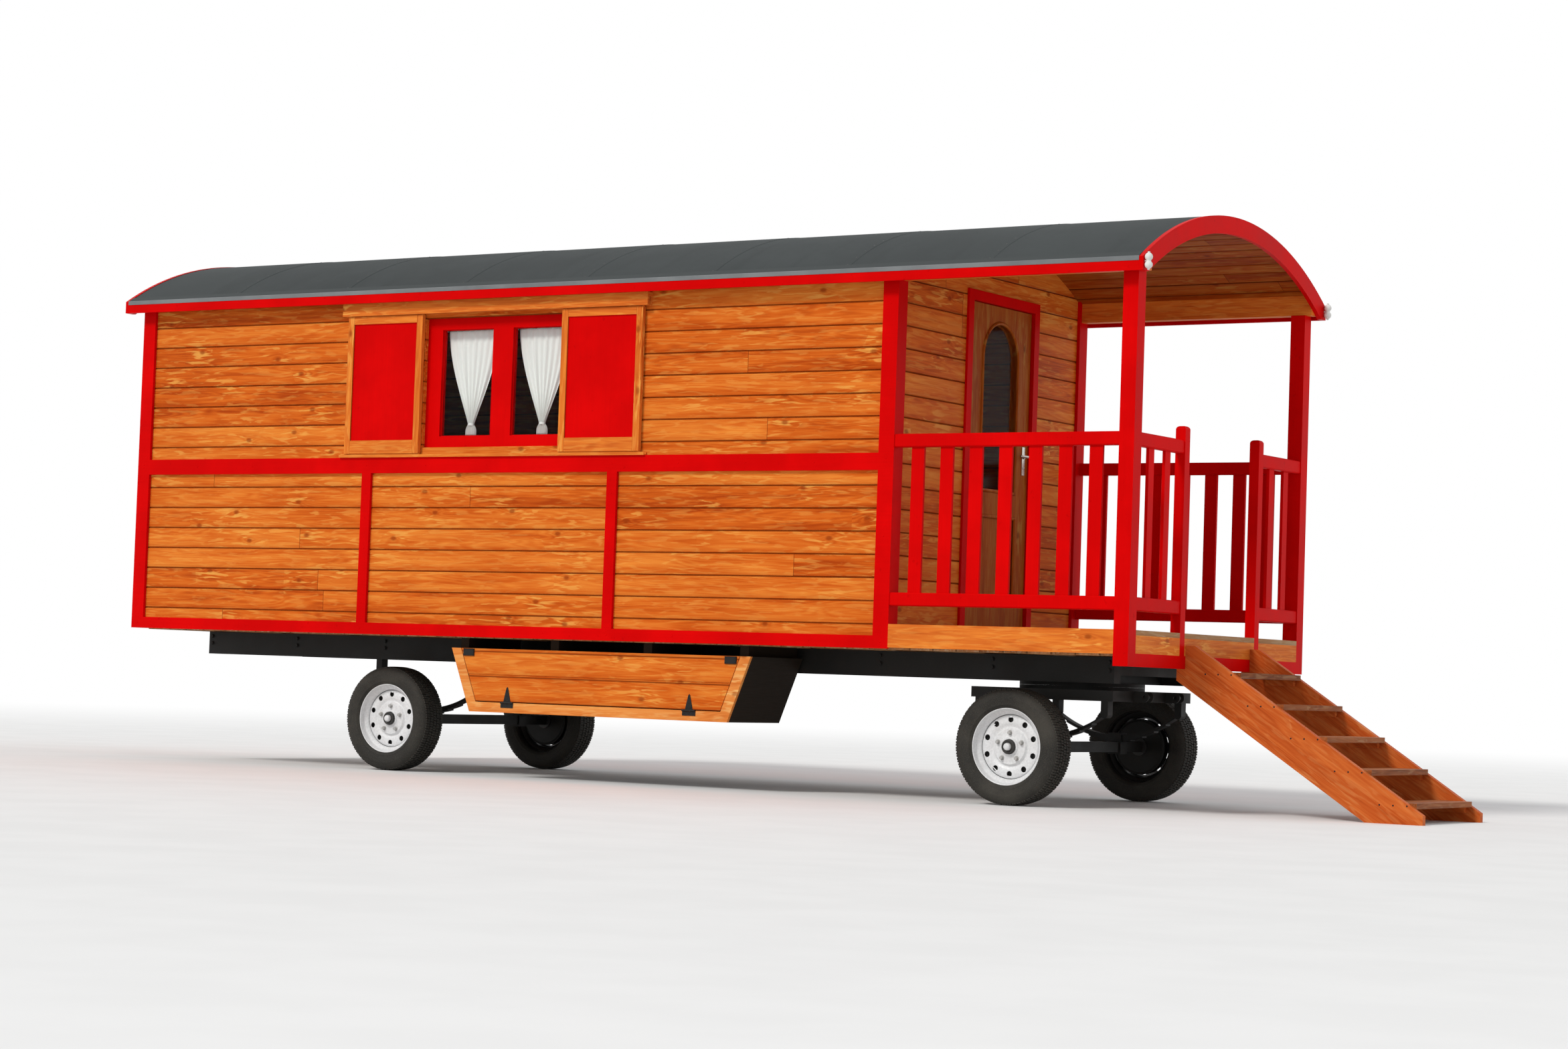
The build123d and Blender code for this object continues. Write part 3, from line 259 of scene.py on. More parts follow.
def wood(
    name, tones, along="X", across="Z", width=0.13, first=0.981, length=5.3, knots=0.5,
    lean=0.0, seams=True, rails=None, painted_shade_behind=None,
):
    """Varnished softwood: each board has its own tone, rings, fine grain and knots.

    Rails is the box of a panel: the frame's rails above and below it run across. Wood without seams shows
    end grain on its ends. Behind a given Y, the wood is painted near black as painted shade."""
    f = Finish(name)
    axes = f.axes(f.add("Mapping", {"Vector": f.place, "Rotation": (0, lean, 0)}).outputs[0] if lean else f.place)
    run, rise = axes[along], axes[across]
    depth = axes[({"X", "Y", "Z"} - {along, across}).pop()]
    if rails:
        centre, half = (rails[0] + rails[1]) / 2, (rails[1] - rails[0]) / 2
        inside = f.math("LESS_THAN", f.away(axes["X"], centre.x), half.x)
        turned = f.times(inside, f.math("GREATER_THAN", f.away(axes["Z"], centre.z), half.z))
        run, rise = f.choose(turned, run, rise), f.choose(turned, rise, run)
    elif along == "X" and not seams:
        facing = f.axes(f.add("TexCoord").outputs["Normal"])["X"]
        turned = f.math("GREATER_THAN", f.math("ABSOLUTE", facing), 0.7)
        run, depth = f.choose(turned, run, depth), f.choose(turned, depth, run)
    count = f.math("DIVIDE", f.math("SUBTRACT", rise, first), width)
    row = f.math("FLOOR", count)
    shift = f.times(f.random(f.vector(row, 0.5, 0.5)), length)
    place_in_length = f.math("DIVIDE", f.math("ADD", run, shift), length)
    board = f.math("FLOOR", place_in_length)
    tone = f.random(f.vector(row, board, 3.5))
    offset = f.times(tone, 23.0)

    def drawn_out(stretch, squeeze, **settings):
        """Noise drawn out along the grain, another one on each board."""
        place = f.math("MULTIPLY_ADD", run, stretch, offset), f.times(rise, squeeze), f.times(depth, squeeze)
        return f.noise(f.vector(*place), **settings)

    def from_end(share, size):
        """Distance to the nearer end, from a place given as a share of the size."""
        return f.times(f.math("MINIMUM", share, f.math("SUBTRACT", 1.0, share)), size)

    knot_place = f.vector(f.math("MULTIPLY_ADD", run, 0.62, offset), rise, 0.0)
    cells = f.add("TexVoronoi", {"Vector": knot_place, "Scale": 4.3, "Randomness": 0.95}, voronoi_dimensions="2D")
    from_knot = cells.outputs["Distance"]
    chosen = f.math("LESS_THAN", f.axes(cells.outputs["Color"])["X"], knots)
    knot = f.times(f.band(from_knot, 0.085, 0.025), chosen)
    halo, flare = (f.times(f.math("EXPONENT", f.times(from_knot, fall)), chosen) for fall in (-8.0, -3.4))

    slow = f.math("MULTIPLY_ADD", run, 0.5, offset), f.times(rise, 8.0), f.math("MULTIPLY_ADD", depth, 8.0, row)
    figure = f.noise(f.vector(*slow), scale=1.5, detail=2.0, distortion=0.3)
    phase = f.math("MULTIPLY_ADD", figure, 88.0, f.times(halo, 16.0))
    rings = f.math("MULTIPLY_ADD", f.math("SINE", phase), 0.5, 0.5)
    streaks = drawn_out(1.3, 19.0, roughness=0.6)
    fine = drawn_out(9.0, 330.0, detail=2.0)
    flames = drawn_out(6.5, 46.0, detail=2.0, distortion=0.8)
    grain = f.times(f.band(streaks, 0.30, 0.70), 0.40)
    for part, share in ((rings, 0.19), (fine, 0.16), (tone, 0.36)):
        grain = f.math("MULTIPLY_ADD", part, share, grain)

    light, mid, dark = tones
    colour = f.ramp(grain, [(0.14, dark), (0.50, mid), (0.98, light)])
    near_knot = f.math("MULTIPLY_ADD", flare, 0.85, 0.22)
    pale = (light[0] * 1.10, light[1] * 1.75, light[2] * 2.6)
    colour = f.mix(f.times(f.band(flames, 0.50, 0.64), near_knot), colour, pale)
    colour = f.mix(f.times(halo, 0.24), colour, dark)
    colour = f.mix(f.times(knot, 0.72), colour, shade(dark, 0.70))
    if seams:
        share = f.math("FRACT", count)
        # Painted shade: each board darkens towards its lower edge, as a shadow along that edge.
        colour = f.toward(colour, dark, share, 0.30, 0.04, 0.30)
        # Darker along each seam: dirt in the joint, and painted shade over the V groove.
        colour = f.toward(colour, shade(dark, 0.30), from_end(share, width), 0.0065, 0.0020, 0.75)
        end = from_end(f.math("FRACT", place_in_length), length)
        colour = f.toward(colour, shade(dark, 0.3), end, 0.0030, 0.0010, 0.7)
    if rails:
        joint = f.away(f.away(axes["X"], centre.x), half.x)
        colour = f.toward(colour, shade(dark, 0.4), joint, 0.0016, 0.0006, 0.6)
    wear = f.noise(f.place, scale=1.1, detail=4.0, roughness=0.6)
    colour = f.toward(colour, shade(dark, 0.9), wear, 0.35, 0.75, 0.14)
    if painted_shade_behind is not None:
        # Painted shade: the wood behind the chest's front frame is made near black.
        colour = f.mix(f.math("GREATER_THAN", axes["Y"], painted_shade_behind), colour, (0.018, 0.014, 0.011))
    f.bump(f.math("MULTIPLY_ADD", rings, 0.5, fine), 0.22, 0.0006)
    tint = (1.0, 0.62, 0.32, 1.0)
    return f.done(colour, f.band(fine, 0.2, 0.8, 0.42, 0.60), Specular_IOR_Level=0.09, Specular_Tint=tint)


def paint(name, colour, roughness=0.36, wear=0.10, along="X"):
    """Brushed gloss paint on wood, slightly faded, with the grain just showing."""
    f = Finish(name)
    brush = f.noise(f.scaled([3 if axis == along else 130 for axis in "XYZ"]), detail=2.0)
    fade = f.noise(f.place, scale=1.7, detail=4.0, roughness=0.6)
    spots = f.noise(f.place, scale=26.0)
    tone = f.toward(shade(colour, 0.86), shade(colour, 1.07), fade, 0.35, 0.70, 0.9)
    tone = f.toward(tone, shade(colour, 0.62), brush, 0.3, 0.7, wear)
    tone = f.toward(tone, shade(colour, 0.45), spots, 0.66, 0.74, wear * 2.5)
    f.bump(brush, 0.16, 0.0004)
    tint = (*(max(0.25, channel / max(colour)) for channel in colour), 1.0)
    rough = f.band(fade, 0.3, 0.7, roughness, roughness + 0.10)
    return f.done(tone, rough, Specular_IOR_Level=0.03, Specular_Tint=tint)


def steel(name, colour, roughness, metallic, dust, dust_share, grain=90.0, shine=0.5, painted_shade_inboard=0.0):
    """Painted or bare metal with dust, small chips and an uneven shine; where Y is within a given depth it is near
    black, painted shade with some dirt.
    """
    f = Finish(name)
    cloud = f.noise(f.place, scale=3.2, detail=5.0, roughness=0.62)
    grit = f.noise(f.place, scale=grain)
    chips = f.noise(f.place, scale=38.0, detail=4.0, roughness=0.7)
    tone = f.toward(shade(colour, 0.84), shade(colour, 1.10), grit, 0.3, 0.7, 0.5)
    tone = f.toward(tone, dust, cloud, 0.42, 0.80, dust_share)
    tone = f.toward(tone, (0.09, 0.042, 0.024), chips, 0.70, 0.76, dust_share)
    if painted_shade_inboard:
        # Painted shade with some dirt: faces nearer the wagon's middle in Y are made near black.
        depth = f.math("ABSOLUTE", f.axes(f.place)["Y"])
        tone = f.mix(f.band(depth, painted_shade_inboard - 0.001, painted_shade_inboard, 1.0, 0.0), tone, (0.016, 0.015, 0.014))
    f.bump(grit, 0.10, 0.0005)
    rough = f.band(cloud, 0.3, 0.75, roughness, min(1.0, roughness + 0.22))
    return f.done(tone, rough, Metallic=metallic, Specular_IOR_Level=shine)


def roofing(name, colour):
    """Slate grey roofing strips with mineral grains, each a little different."""
    f = Finish(name)
    strip_width = bpy.context.scene.vardo_cover.strip_width
    strip = f.math("FLOOR", f.math("DIVIDE", f.axes(f.place)["X"], strip_width))
    tone = f.random(f.vector(strip, 0.5, 0.5))
    grains = f.noise(f.place, scale=520.0, detail=2.0)
    cloud = f.noise(f.place, scale=1.6, detail=5.0, roughness=0.65)
    runs = f.noise(f.scaled((9.0, 1.2, 1.2)))
    base = f.mix(tone, shade(colour, 0.90), shade(colour, 1.08))
    base = f.toward(base, shade(colour, 1.32), cloud, 0.35, 0.75, 0.6)
    base = f.toward(base, shade(colour, 0.68), runs, 0.52, 0.80, 0.35)
    base = f.toward(base, shade(colour, 0.60), grains, 0.35, 0.65, 0.55)
    f.bump(grains, 0.45, 0.0012)
    return f.done(base, 0.88, Specular_IOR_Level=0.20)


def drip_edge(name, colour):
    """Folded light metal at the eaves: its fall is bare, its lap is under the roofing."""
    f = Finish(name)
    across = f.math("ABSOLUTE", f.axes(f.place)["Y"])
    fall = f.band(across, EAVE_HALF - 0.0015, EAVE_HALF - 0.0005)
    grains = f.noise(f.place, scale=520.0, detail=2.0)
    cloud = f.noise(f.place, scale=2.5, detail=4.0, roughness=0.6)
    lap = f.toward(shade(colour, 1.05), shade(colour, 0.62), grains, 0.35, 0.65, 0.55)
    bare = f.toward((0.20, 0.21, 0.215), (0.14, 0.15, 0.155), cloud, 0.3, 0.7)
    f.bump(grains, 0.2, 0.0008)
    return f.done(f.mix(fall, lap, bare), f.band(fall, 0.0, 1.0, 0.88, 0.45), Specular_IOR_Level=0.3)


def rubber(name):
    """Dusty black rubber."""
    f = Finish(name)
    cloud = f.noise(f.place, scale=4.0, detail=5.0, roughness=0.6)
    grit = f.noise(f.place, scale=240.0, detail=2.0)
    base = f.toward((0.017, 0.016, 0.014), (0.050, 0.046, 0.039), cloud, 0.35, 0.75)
    base = f.toward(base, (0.075, 0.068, 0.055), grit, 0.4, 0.7, 0.35)
    f.bump(grit, 0.18, 0.0006)
    return f.done(base, f.band(cloud, 0.3, 0.7, 0.62, 0.80), Specular_IOR_Level=0.22)


def cloth(name, colour):
    """Thin plain weave cotton."""
    f = Finish(name)
    inputs = {"Vector": f.add("TexCoord").outputs["UV"], "Scale": 210.0, "Distortion": 0.6}
    warp, weft = (f.add("TexWave", inputs, bands_direction=way).outputs["Fac"] for way in "XY")
    weave = f.times(warp, weft)
    slub = f.noise(f.scaled((60, 60, 6)))
    tone = f.toward(colour, shade(colour, 0.94), slub, 0.35, 0.7, 0.35)
    tone = f.mix(f.band(weave, 0.1, 0.8, 0.20, 0.0), tone, shade(colour, 0.86))
    f.bump(weave, 0.20, 0.0003)
    return f.done(tone, 0.9, Sheen_Weight=0.25, Sheen_Roughness=0.5, Specular_IOR_Level=0.2)


def pane(name):
    """Clear float glass: mirror-like at a slant, with some dust."""
    f = Finish(name)
    dust = f.noise(f.place, scale=6.0, detail=4.0)
    f.done((0.03, 0.045, 0.045), f.band(dust, 0.3, 0.8, 0.03, 0.10), Specular_IOR_Level=0.9)
    clear = f.add("BsdfTransparent", {"Color": (0.99, 1.0, 0.995, 1)})
    slant = f.math("POWER", f.add("LayerWeight", {"Blend": 0.5}).outputs["Facing"], 5.0)
    f.show(f.math("MULTIPLY_ADD", slant, 0.96, 0.03), clear, f.surface)
    return f.material


FINISHES = {}


def finish(name):
    """The named finish, made when it is first asked for."""
    if name not in FINISHES:
        FINISHES[name] = make_finish(name)
    return FINISHES[name]


LONG = 900.0  # longer than any board, so that no end joint shows
WHOLE = {"width": 30.0, "first": -15.0, "length": LONG, "seams": False}  # wood in one piece
CHEST_FRONT = 0.0205  # depth of the chest's front frame; the case behind it is painted near black as painted shade


def make_finish(name):
    colours = bpy.context.scene.vardo_colours
    boards = (tuple(colours.board_light), tuple(colours.board_mid), tuple(colours.board_dark))
    plain = (shade(boards[0], 1.05), (0.66, 0.150, 0.020), (0.45, 0.075, 0.008))
    pale = ((0.86, 0.36, 0.09), (0.74, 0.235, 0.048), (0.55, 0.125, 0.018))
    stair = ((0.66, 0.165, 0.035), (0.50, 0.090, 0.016), (0.33, 0.046, 0.007))
    # Painted shade: dark tones for the stair treads, which stand in shade
    tread = ((0.42, 0.140, 0.045), (0.25, 0.072, 0.021), (0.12, 0.032, 0.009))
    # Painted shade: the board tones at about half, for the roof lining and the door, which stand in shade
    painted_shade_tones = (shade(boards[0], 0.52), shade(boards[1], 0.54), shade(boards[2], 0.54))
    floor = ((0.50, 0.28, 0.13), (0.36, 0.18, 0.075), (0.20, 0.09, 0.035))
    red, roof = tuple(colours.red), tuple(colours.roof)

    def shutter_wood(end):
        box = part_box(f"shutter_panel_near_{end}")
        return wood(name, plain, along="Z", across="X", knots=0.2, rails=box, **WHOLE)

    makers = {
        "side_boards": lambda: wood(name, boards),
        "end_boards": lambda: wood(name, boards, along="Y", length=2.9),
        "soffit_boards": lambda: wood(name, painted_shade_tones, across="Y", width=0.098, first=-1.225, length=2.4),
        "long_wood": lambda: wood(name, plain, knots=0.3, **WHOLE),
        "rear_shutter_wood": lambda: shutter_wood("rear"),
        "front_shutter_wood": lambda: shutter_wood("front"),
        "tread_wood": lambda: wood(
            name, tread, along="Y", across="X", width=STAIR_GOING, first=TREAD_HIGH.x, length=LONG, knots=0.3,
            seams=False,
        ),
        "stringer_wood": lambda: wood(name, stair, knots=0.4, lean=STAIR_LEAN, **WHOLE),
        "door_wood": lambda: wood(name, painted_shade_tones, along="Z", across="Y", knots=0.2, **WHOLE),
        "chest_boards": lambda: wood(name, boards, width=0.15, first=0.46, length=LONG),
        # The chest's case behind its front frame is painted near black as painted shade.
        "chest_case": lambda: wood(
            name, pale, knots=0.3, painted_shade_behind=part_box("chest_box")[0].y + CHEST_FRONT, **WHOLE
        ),
        "floor_wood": lambda: wood(name, floor, along="Y", across="X", width=0.1475, first=1.458, length=LONG),
        "red_paint": lambda: paint(name, red),
        "red_upright": lambda: paint(name, red, along="Z"),
        "white_paint": lambda: paint(name, (0.84, 0.83, 0.79), roughness=0.32, wear=0.08, along="Z"),
        "roofing": lambda: roofing(name, roof),
        "drip_metal": lambda: drip_edge(name, roof),
        "chassis_black": lambda: steel(
            name, (0.013, 0.013, 0.012), 0.48, 0.0, (0.050, 0.043, 0.036), 0.25, shine=0.25
        ),
        "wheel_silver": lambda: steel(
            name, (0.80, 0.81, 0.82), 0.34, 0.05, (0.42, 0.39, 0.33), 0.20,
            # painted shade inside the wheel: its inner side is made near black
            painted_shade_inboard=abs(middle("tyre_front_near").y) + DISC_GROOVE - 0.0005,
        ),
        "iron": lambda: steel(name, (0.010, 0.010, 0.010), 0.46, 0.0, (0.035, 0.024, 0.018), 0.25, shine=0.25),
        "hub_grey": lambda: steel(name, (0.030, 0.029, 0.028), 0.45, 0.2, (0.08, 0.07, 0.055), 0.25),
        "handle_metal": lambda: steel(name, (0.60, 0.58, 0.54), 0.24, 0.95, (0.40, 0.37, 0.32), 0.15, 260.0),
        "zinc": lambda: steel(name, (0.50, 0.50, 0.49), 0.36, 0.8, (0.32, 0.28, 0.22), 0.3, 200.0),
        "rubber": lambda: rubber(name),
        "curtain": lambda: cloth(name, tuple(colours.curtain)),
        "glass": lambda: pane(name),
    }
    return makers[name]()


FINISHED_NODES = {
    "side_boards": ("wall_near", "wall_far"),
    "end_boards": ("wall_rear", "wall_porch"),
    "red_paint": ("wall_trim", "front_trim", "roof_edges"),
    "red_upright": ("porch_posts", "railings", "window_frames", "door_frame"),
    "long_wood": ("floor_fascia", "porch_beams", "shutter_tracks"),
    "floor_wood": ("floor_boards", "floor_frame"),
    "drip_metal": ("drip_edges",),
    "glass": ("window_glass", "door_glass"),
    "door_wood": ("cabin_door",),
    "stringer_wood": ("stair_stringers",),
    "tread_wood": ("stair_treads",),
    "chest_case": ("chest_box",),
    "chest_boards": ("chest_door",),
    "iron": ("chest_straps", "chest_fittings", "chest_catches"),
}
NODE_FINISH = {node: name for name, nodes in FINISHED_NODES.items() for node in nodes}


def node_finish(name):
    """The finish of a carried-over node, by its own name or by what it is."""
    if name in NODE_FINISH:
        return NODE_FINISH[name]
    if name.startswith("shutter_frame"):
        return "rear_shutter_wood" if name.endswith("rear") else "front_shutter_wood"
    if name.startswith("shutter_panel"):
        return "red_upright"
    return "chassis_black"


# Mesh helpers


def put(name, data):
    """A new object in the scene."""
    item = bpy.data.objects.new(name, data)
    bpy.context.scene.collection.objects.link(item)
    return item


def place_piece(name, mesh, body, material=None):
    """A finished piece from a mesh that is already in place, riding on a body."""
    piece = put(name, mesh)
    if material:
        mesh.materials.clear()
        mesh.materials.append(finish(material))
    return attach(piece, body)


def smooth(bm, below):
    """Smooth faces, with edges sharper than an angle kept sharp."""
    for face in bm.faces:
        face.smooth = True
    for edge in bm.edges:
        edge.smooth = len(edge.link_faces) == 2 and edge.calc_face_angle(0.0) < below


def mesh_of(bm, name, sharp=0):
    """A mesh from a bmesh, with faces outwards, and smooth but for edges of more than so many degrees."""
    bmesh.ops.remove_doubles(bm, verts=bm.verts, dist=1e-6)
    bmesh.ops.recalc_face_normals(bm, faces=bm.faces)
    if sharp:
        smooth(bm, math.radians(sharp))
    mesh = bpy.data.meshes.new(name)
    bm.to_mesh(mesh)
    bm.free()
    return mesh


def piece_of(bm, name, sharp, body, material):
    """A finished piece from a bmesh."""
    return place_piece(name, mesh_of(bm, name, sharp), body, material)


def plain_mesh(carrier, *others):
    """The mesh that an object's curve or modifiers make; the object and the others they use are removed."""
    evaluated = carrier.evaluated_get(bpy.context.evaluated_depsgraph_get())
    mesh = bpy.data.meshes.new_from_object(evaluated)
    for item in (carrier, *others):
        bpy.data.objects.remove(item)
    return mesh


def joined_mesh(name, meshes):
    """One mesh from several that are already in place."""
    bm = bmesh.new()
    for mesh in meshes:
        bm.from_mesh(mesh)
    joined = bpy.data.meshes.new(name)
    bm.to_mesh(joined)
    bm.free()
    return joined


def bar_mesh(name, radius, resolution, route, kind="POLY", **settings):
    """A round bar along a route."""
    curve = bpy.data.curves.new(name, "CURVE")
    curve.dimensions = "3D"
    curve.bevel_depth, curve.bevel_resolution, curve.use_fill_caps = radius, resolution, True
    spline = curve.splines.new(kind)
    spline.points.add(len(route) - 1)
    for point, place in zip(spline.points, route):
        point.co = (*place, 1)
    for key, value in settings.items():
        setattr(spline, key, value)
    return plain_mesh(put(name, curve))


def turns(count, start=0.0):
    """Evenly spaced angles of one whole turn."""
    return [math.tau * (step + start) / count for step in range(count)]


def lathe(bm, profile, centre, outward, segments=96):
    """Turn a closed (radius, distance along) profile round an axle that runs along Y."""
    rings = []
    for radius, along in profile:
        y = centre.y + outward * along
        angles = turns(segments if radius else 1)
        rings.append(
            [bm.verts.new((centre.x + radius * math.sin(a), y, centre.z + radius * math.cos(a))) for a in angles]
        )
    join_rings(bm, rings, segments)


def join_rings(bm, rings, segments, closed_loop=True):
    """Faces between each ring and the next; a ring of one point is a pole."""
    for first, second in zip(rings, rings[1:] + (rings[:1] if closed_loop else [])):
        if len(first) == 1 and len(second) == 1:
            continue
        for step in range(segments):
            after = (step + 1) % segments
            if len(first) == 1:
                bm.faces.new((first[0], second[step], second[after]))
            elif len(second) == 1:
                bm.faces.new((first[step], second[0], first[after]))
            else:
                bm.faces.new((first[step], second[step], second[after], first[after]))


def block(bm, low, high, chamfer):
    """A box between two corners, with its edges chamfered."""
    low, high = Vector(low), Vector(high)
    matrix = Matrix.Translation((low + high) / 2) @ Matrix.Diagonal((*(high - low), 1))
    made = bmesh.ops.create_cube(bm, size=1.0, matrix=matrix)["verts"]
    edges = list({e for v in made for e in v.link_edges})
    bmesh.ops.bevel(bm, geom=edges, offset=chamfer, segments=2, profile=0.7, affect="EDGES")


def peg(bm, place, laid_about, segments, radius, depth, taper=1.0):
    """A short round bar with its middle at a place, laid over by a quarter turn about X or Y."""
    turn = Matrix.Translation(place) @ Matrix.Rotation(math.pi / 2, 4, laid_about)
    bmesh.ops.create_cone(
        bm, cap_ends=True, segments=segments, radius1=radius, radius2=radius * taper, depth=depth, matrix=turn
    )


def sweep(bm, path, facing, profile):
    """Carry a closed (inwards, outwards) profile round a closed flat path that faces one way."""
    facing = Vector(facing)
    points = [Vector(p) for p in path]
    rings = []
    for index, point in enumerate(points):
        first = (point - points[index - 1]).normalized()
        second = (points[(index + 1) % len(points)] - point).normalized()
        side_one, side_two = facing.cross(first), facing.cross(second)
        mitre = (side_one + side_two).normalized()
        mitre /= max(0.3, mitre.dot(side_one))
        rings.append([bm.verts.new(point + mitre * inward + facing * out) for inward, out in profile])
    join_rings(bm, rings, len(profile))


# Geometry node trees


class Tree(Nodes):
    """A geometry node tree in the making, with named inputs"""

    prefix = ""

    def __init__(self, name, sockets):
        super().__init__(bpy.data.node_groups.new(name, "GeometryNodeTree"))
        for way in ("OUTPUT", "INPUT"):
            self.tree.interface.new_socket("Geometry", in_out=way, socket_type="NodeSocketGeometry")
        for label, kind, value in sockets:
            socket = self.tree.interface.new_socket(label, in_out="INPUT", socket_type="NodeSocket" + kind)
            if value is not None:
                socket.default_value = value
        self.given = self.add("NodeGroupInput").outputs
        self.result = self.add("NodeGroupOutput")

    def math(self, operation, first, second):
        return self.add("ShaderNodeMath", {0: first, 1: second}, operation=operation).outputs[0]

    def copies(self, points, instance, rotation):
        """Put a copy on each point, realize them, give them the material and end the tree."""
        inputs = {"Points": points.outputs[0], "Instance": instance, "Rotation": rotation.outputs[0]}
        copies = self.add("GeometryNodeInstanceOnPoints", inputs)
        real = self.add("GeometryNodeRealizeInstances", {"Geometry": copies.outputs[0]})
        inputs = {"Geometry": real.outputs[0], "Material": self.given["Material"]}
        done = self.add("GeometryNodeSetMaterial", inputs)
        self.feed(self.result.inputs["Geometry"], done.outputs[0])
        return self.tree


def ring_tree():
    """Copies of a piece turned round a centre, at even steps of angle."""
    t = Tree(
        "Ring of copies",
        [
            ("Count", "Int", 12),
            ("Centre", "Vector", (0, 0, 0)),
            ("Axis", "Vector", (0, 1, 0)),
            ("First Angle", "Float", 0.0),
            ("Step Angle", "Float", 0.1),
            ("Material", "Material", None),
        ],
    )
    points = t.add("GeometryNodePoints", {"Count": t.given["Count"], "Position": t.given["Centre"]})
    index = t.add("GeometryNodeInputIndex").outputs[0]
    angle = t.math("ADD", t.math("MULTIPLY", index, t.given["Step Angle"]), t.given["First Angle"])
    turn = t.add("FunctionNodeAxisAngleToRotation", {"Axis": t.given["Axis"], "Angle": angle})
    return t.copies(points, t.given["Geometry"], turn)


# The round parts of a fastener: its sides, then radii and heights in metres
FASTENER_SIZES = ("Sides", "Head Radius", "Head Top Radius", "Head Height", "Washer Radius", "Washer Height")
FASTENERS = {
    "bolt": (6, 0.011, 0.0105, 0.009, 0.015, 0.0025),
    "small_bolt": (6, 0.0075, 0.0072, 0.006, 0.0105, 0.002),
    "screw": (10, 0.0045, 0.0032, 0.0012, 0.0050, 0.0004),
    "nail": (10, 0.0055, 0.0045, 0.0009, 0.0058, 0.0004),
    "wheel_nut": (6, 0.0110, 0.0095, 0.0150, 0.0145, 0.0030),
}
WASHER_SIDES, WASHER_TAPER = 14, 0.92


def fastener_tree():
    """A head and a washer on each point, square to the surface and turned at random."""
    sides, *lengths = zip(FASTENER_SIZES, FASTENERS["bolt"])
    sockets = [(sides[0], "Int", sides[1]), *((label, "Float", value) for label, value in lengths)]
    t = Tree("Fasteners", [*sockets, ("Seed", "Int", 7), ("Material", "Material", None)])
    given = t.given

    def cone(sides, bottom, top, depth):
        inputs = {"Vertices": sides, "Radius Top": top, "Radius Bottom": bottom, "Depth": depth}
        return t.add("GeometryNodeMeshCone", inputs).outputs[0]

    head = cone(given["Sides"], given["Head Radius"], given["Head Top Radius"], given["Head Height"])
    raise_by = t.add("ShaderNodeCombineXYZ", {"Z": given["Washer Height"]}).outputs[0]
    head = t.add("GeometryNodeTransform", {"Geometry": head, "Translation": raise_by}).outputs[0]
    top = t.math("MULTIPLY", given["Washer Radius"], WASHER_TAPER)
    washer = cone(WASHER_SIDES, given["Washer Radius"], top, given["Washer Height"])
    joined = t.add("GeometryNodeJoinGeometry")
    for part in (washer, head):
        t.feed(joined.inputs[0], part)
    points = t.add("GeometryNodeMeshToPoints", {"Mesh": given["Geometry"]})
    facing = t.add("GeometryNodeInputNamedAttribute", {"Name": "facing"}, data_type="FLOAT_VECTOR")
    square = t.add("FunctionNodeAlignRotationToVector", {"Vector": facing.outputs[0]}, axis="Z")
    spin = t.add("FunctionNodeRandomValue", {2: 0.0, 3: math.tau, "Seed": given["Seed"]}, data_type="FLOAT")
    about = t.add("FunctionNodeAxisAngleToRotation", {"Axis": (0, 0, 1), "Angle": spin.outputs[1]})
    inputs = {"Rotation": square.outputs[0], "Rotate By": about.outputs[0]}
    turned = t.add("FunctionNodeRotateRotation", inputs, rotation_space="LOCAL")
    return t.copies(points, joined.outputs[0], turned)


TREES = {}


def tree(name):
    """One of the geometry node trees, made when it is first asked for."""
    if name not in TREES:
        TREES[name] = {"ring": ring_tree, "fasteners": fastener_tree}[name]()
    return TREES[name]


def grown_mesh(mesh, tree_name, values):
    """The plain mesh that a tree makes of a mesh, with the tree's inputs set by name."""
    carrier = put("carrier", mesh)
    modifier = carrier.modifiers.new("Grow", "NODES")
    modifier.node_group = tree(tree_name)
    for item in modifier.node_group.interface.items_tree:
        if item.in_out == "INPUT" and item.name in values:
            modifier[item.identifier] = values[item.name]
    return plain_mesh(carrier)


def fasteners(name, kind, points, body, material):
    """One piece that holds a head on each (place, facing) point."""
    mesh = bpy.data.meshes.new(name)
    mesh.from_pydata([place for place, _ in points], [], [])
    facing = mesh.attributes.new("facing", "FLOAT_VECTOR", "POINT")
    facing.data.foreach_set("vector", [c for _, way in points for c in way])
    values = {**dict(zip(FASTENER_SIZES, FASTENERS[kind])), "Material": finish(material)}
    return place_piece(name, grown_mesh(mesh, "fasteners", values), body)


def line_of(start, end, count, facing):
    """Evenly spaced places from start to end, all facing one way."""
    start, end = Vector(start), Vector(end)
    return [(start.lerp(end, number / (count - 1)), facing) for number in range(count)]


# Places read from the frame


def middle(name):
    """Centre of a node's box."""
    low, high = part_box(name)
    return (low + high) / 2


def roof_arc():
    """Radius and centre height of the roof's outer arc, from the sheet's corners."""
    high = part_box("roof_sheet")[1]
    edge = max(v.co.z for v in NODES["roof_sheet"].data.vertices if abs(v.co.y) > high.y - 1e-4)
    rise = high.z - edge
    radius = (high.y**2 + rise**2) / (2 * rise)
    return radius, high.z - radius


ROOF_RADIUS, ROOF_CENTRE = roof_arc()
EAVE_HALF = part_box("roof_sheet")[1].y
TREAD_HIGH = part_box("stair_treads")[1]
TREAD_COUNT, TREAD_THICK = 5, 0.030
STAIR_RISE, STAIR_GOING = 0.166, 0.258
STAIR_LEAN = -math.atan2(STAIR_RISE, STAIR_GOING)


def tread_noses():
    """The (x, z) of the front top edge of each stair tread, from the highest down."""
    return [
        (TREAD_HIGH.x - (TREAD_COUNT - 1 - number) * STAIR_GOING, TREAD_HIGH.z - number * STAIR_RISE)
        for number in range(TREAD_COUNT)
    ]


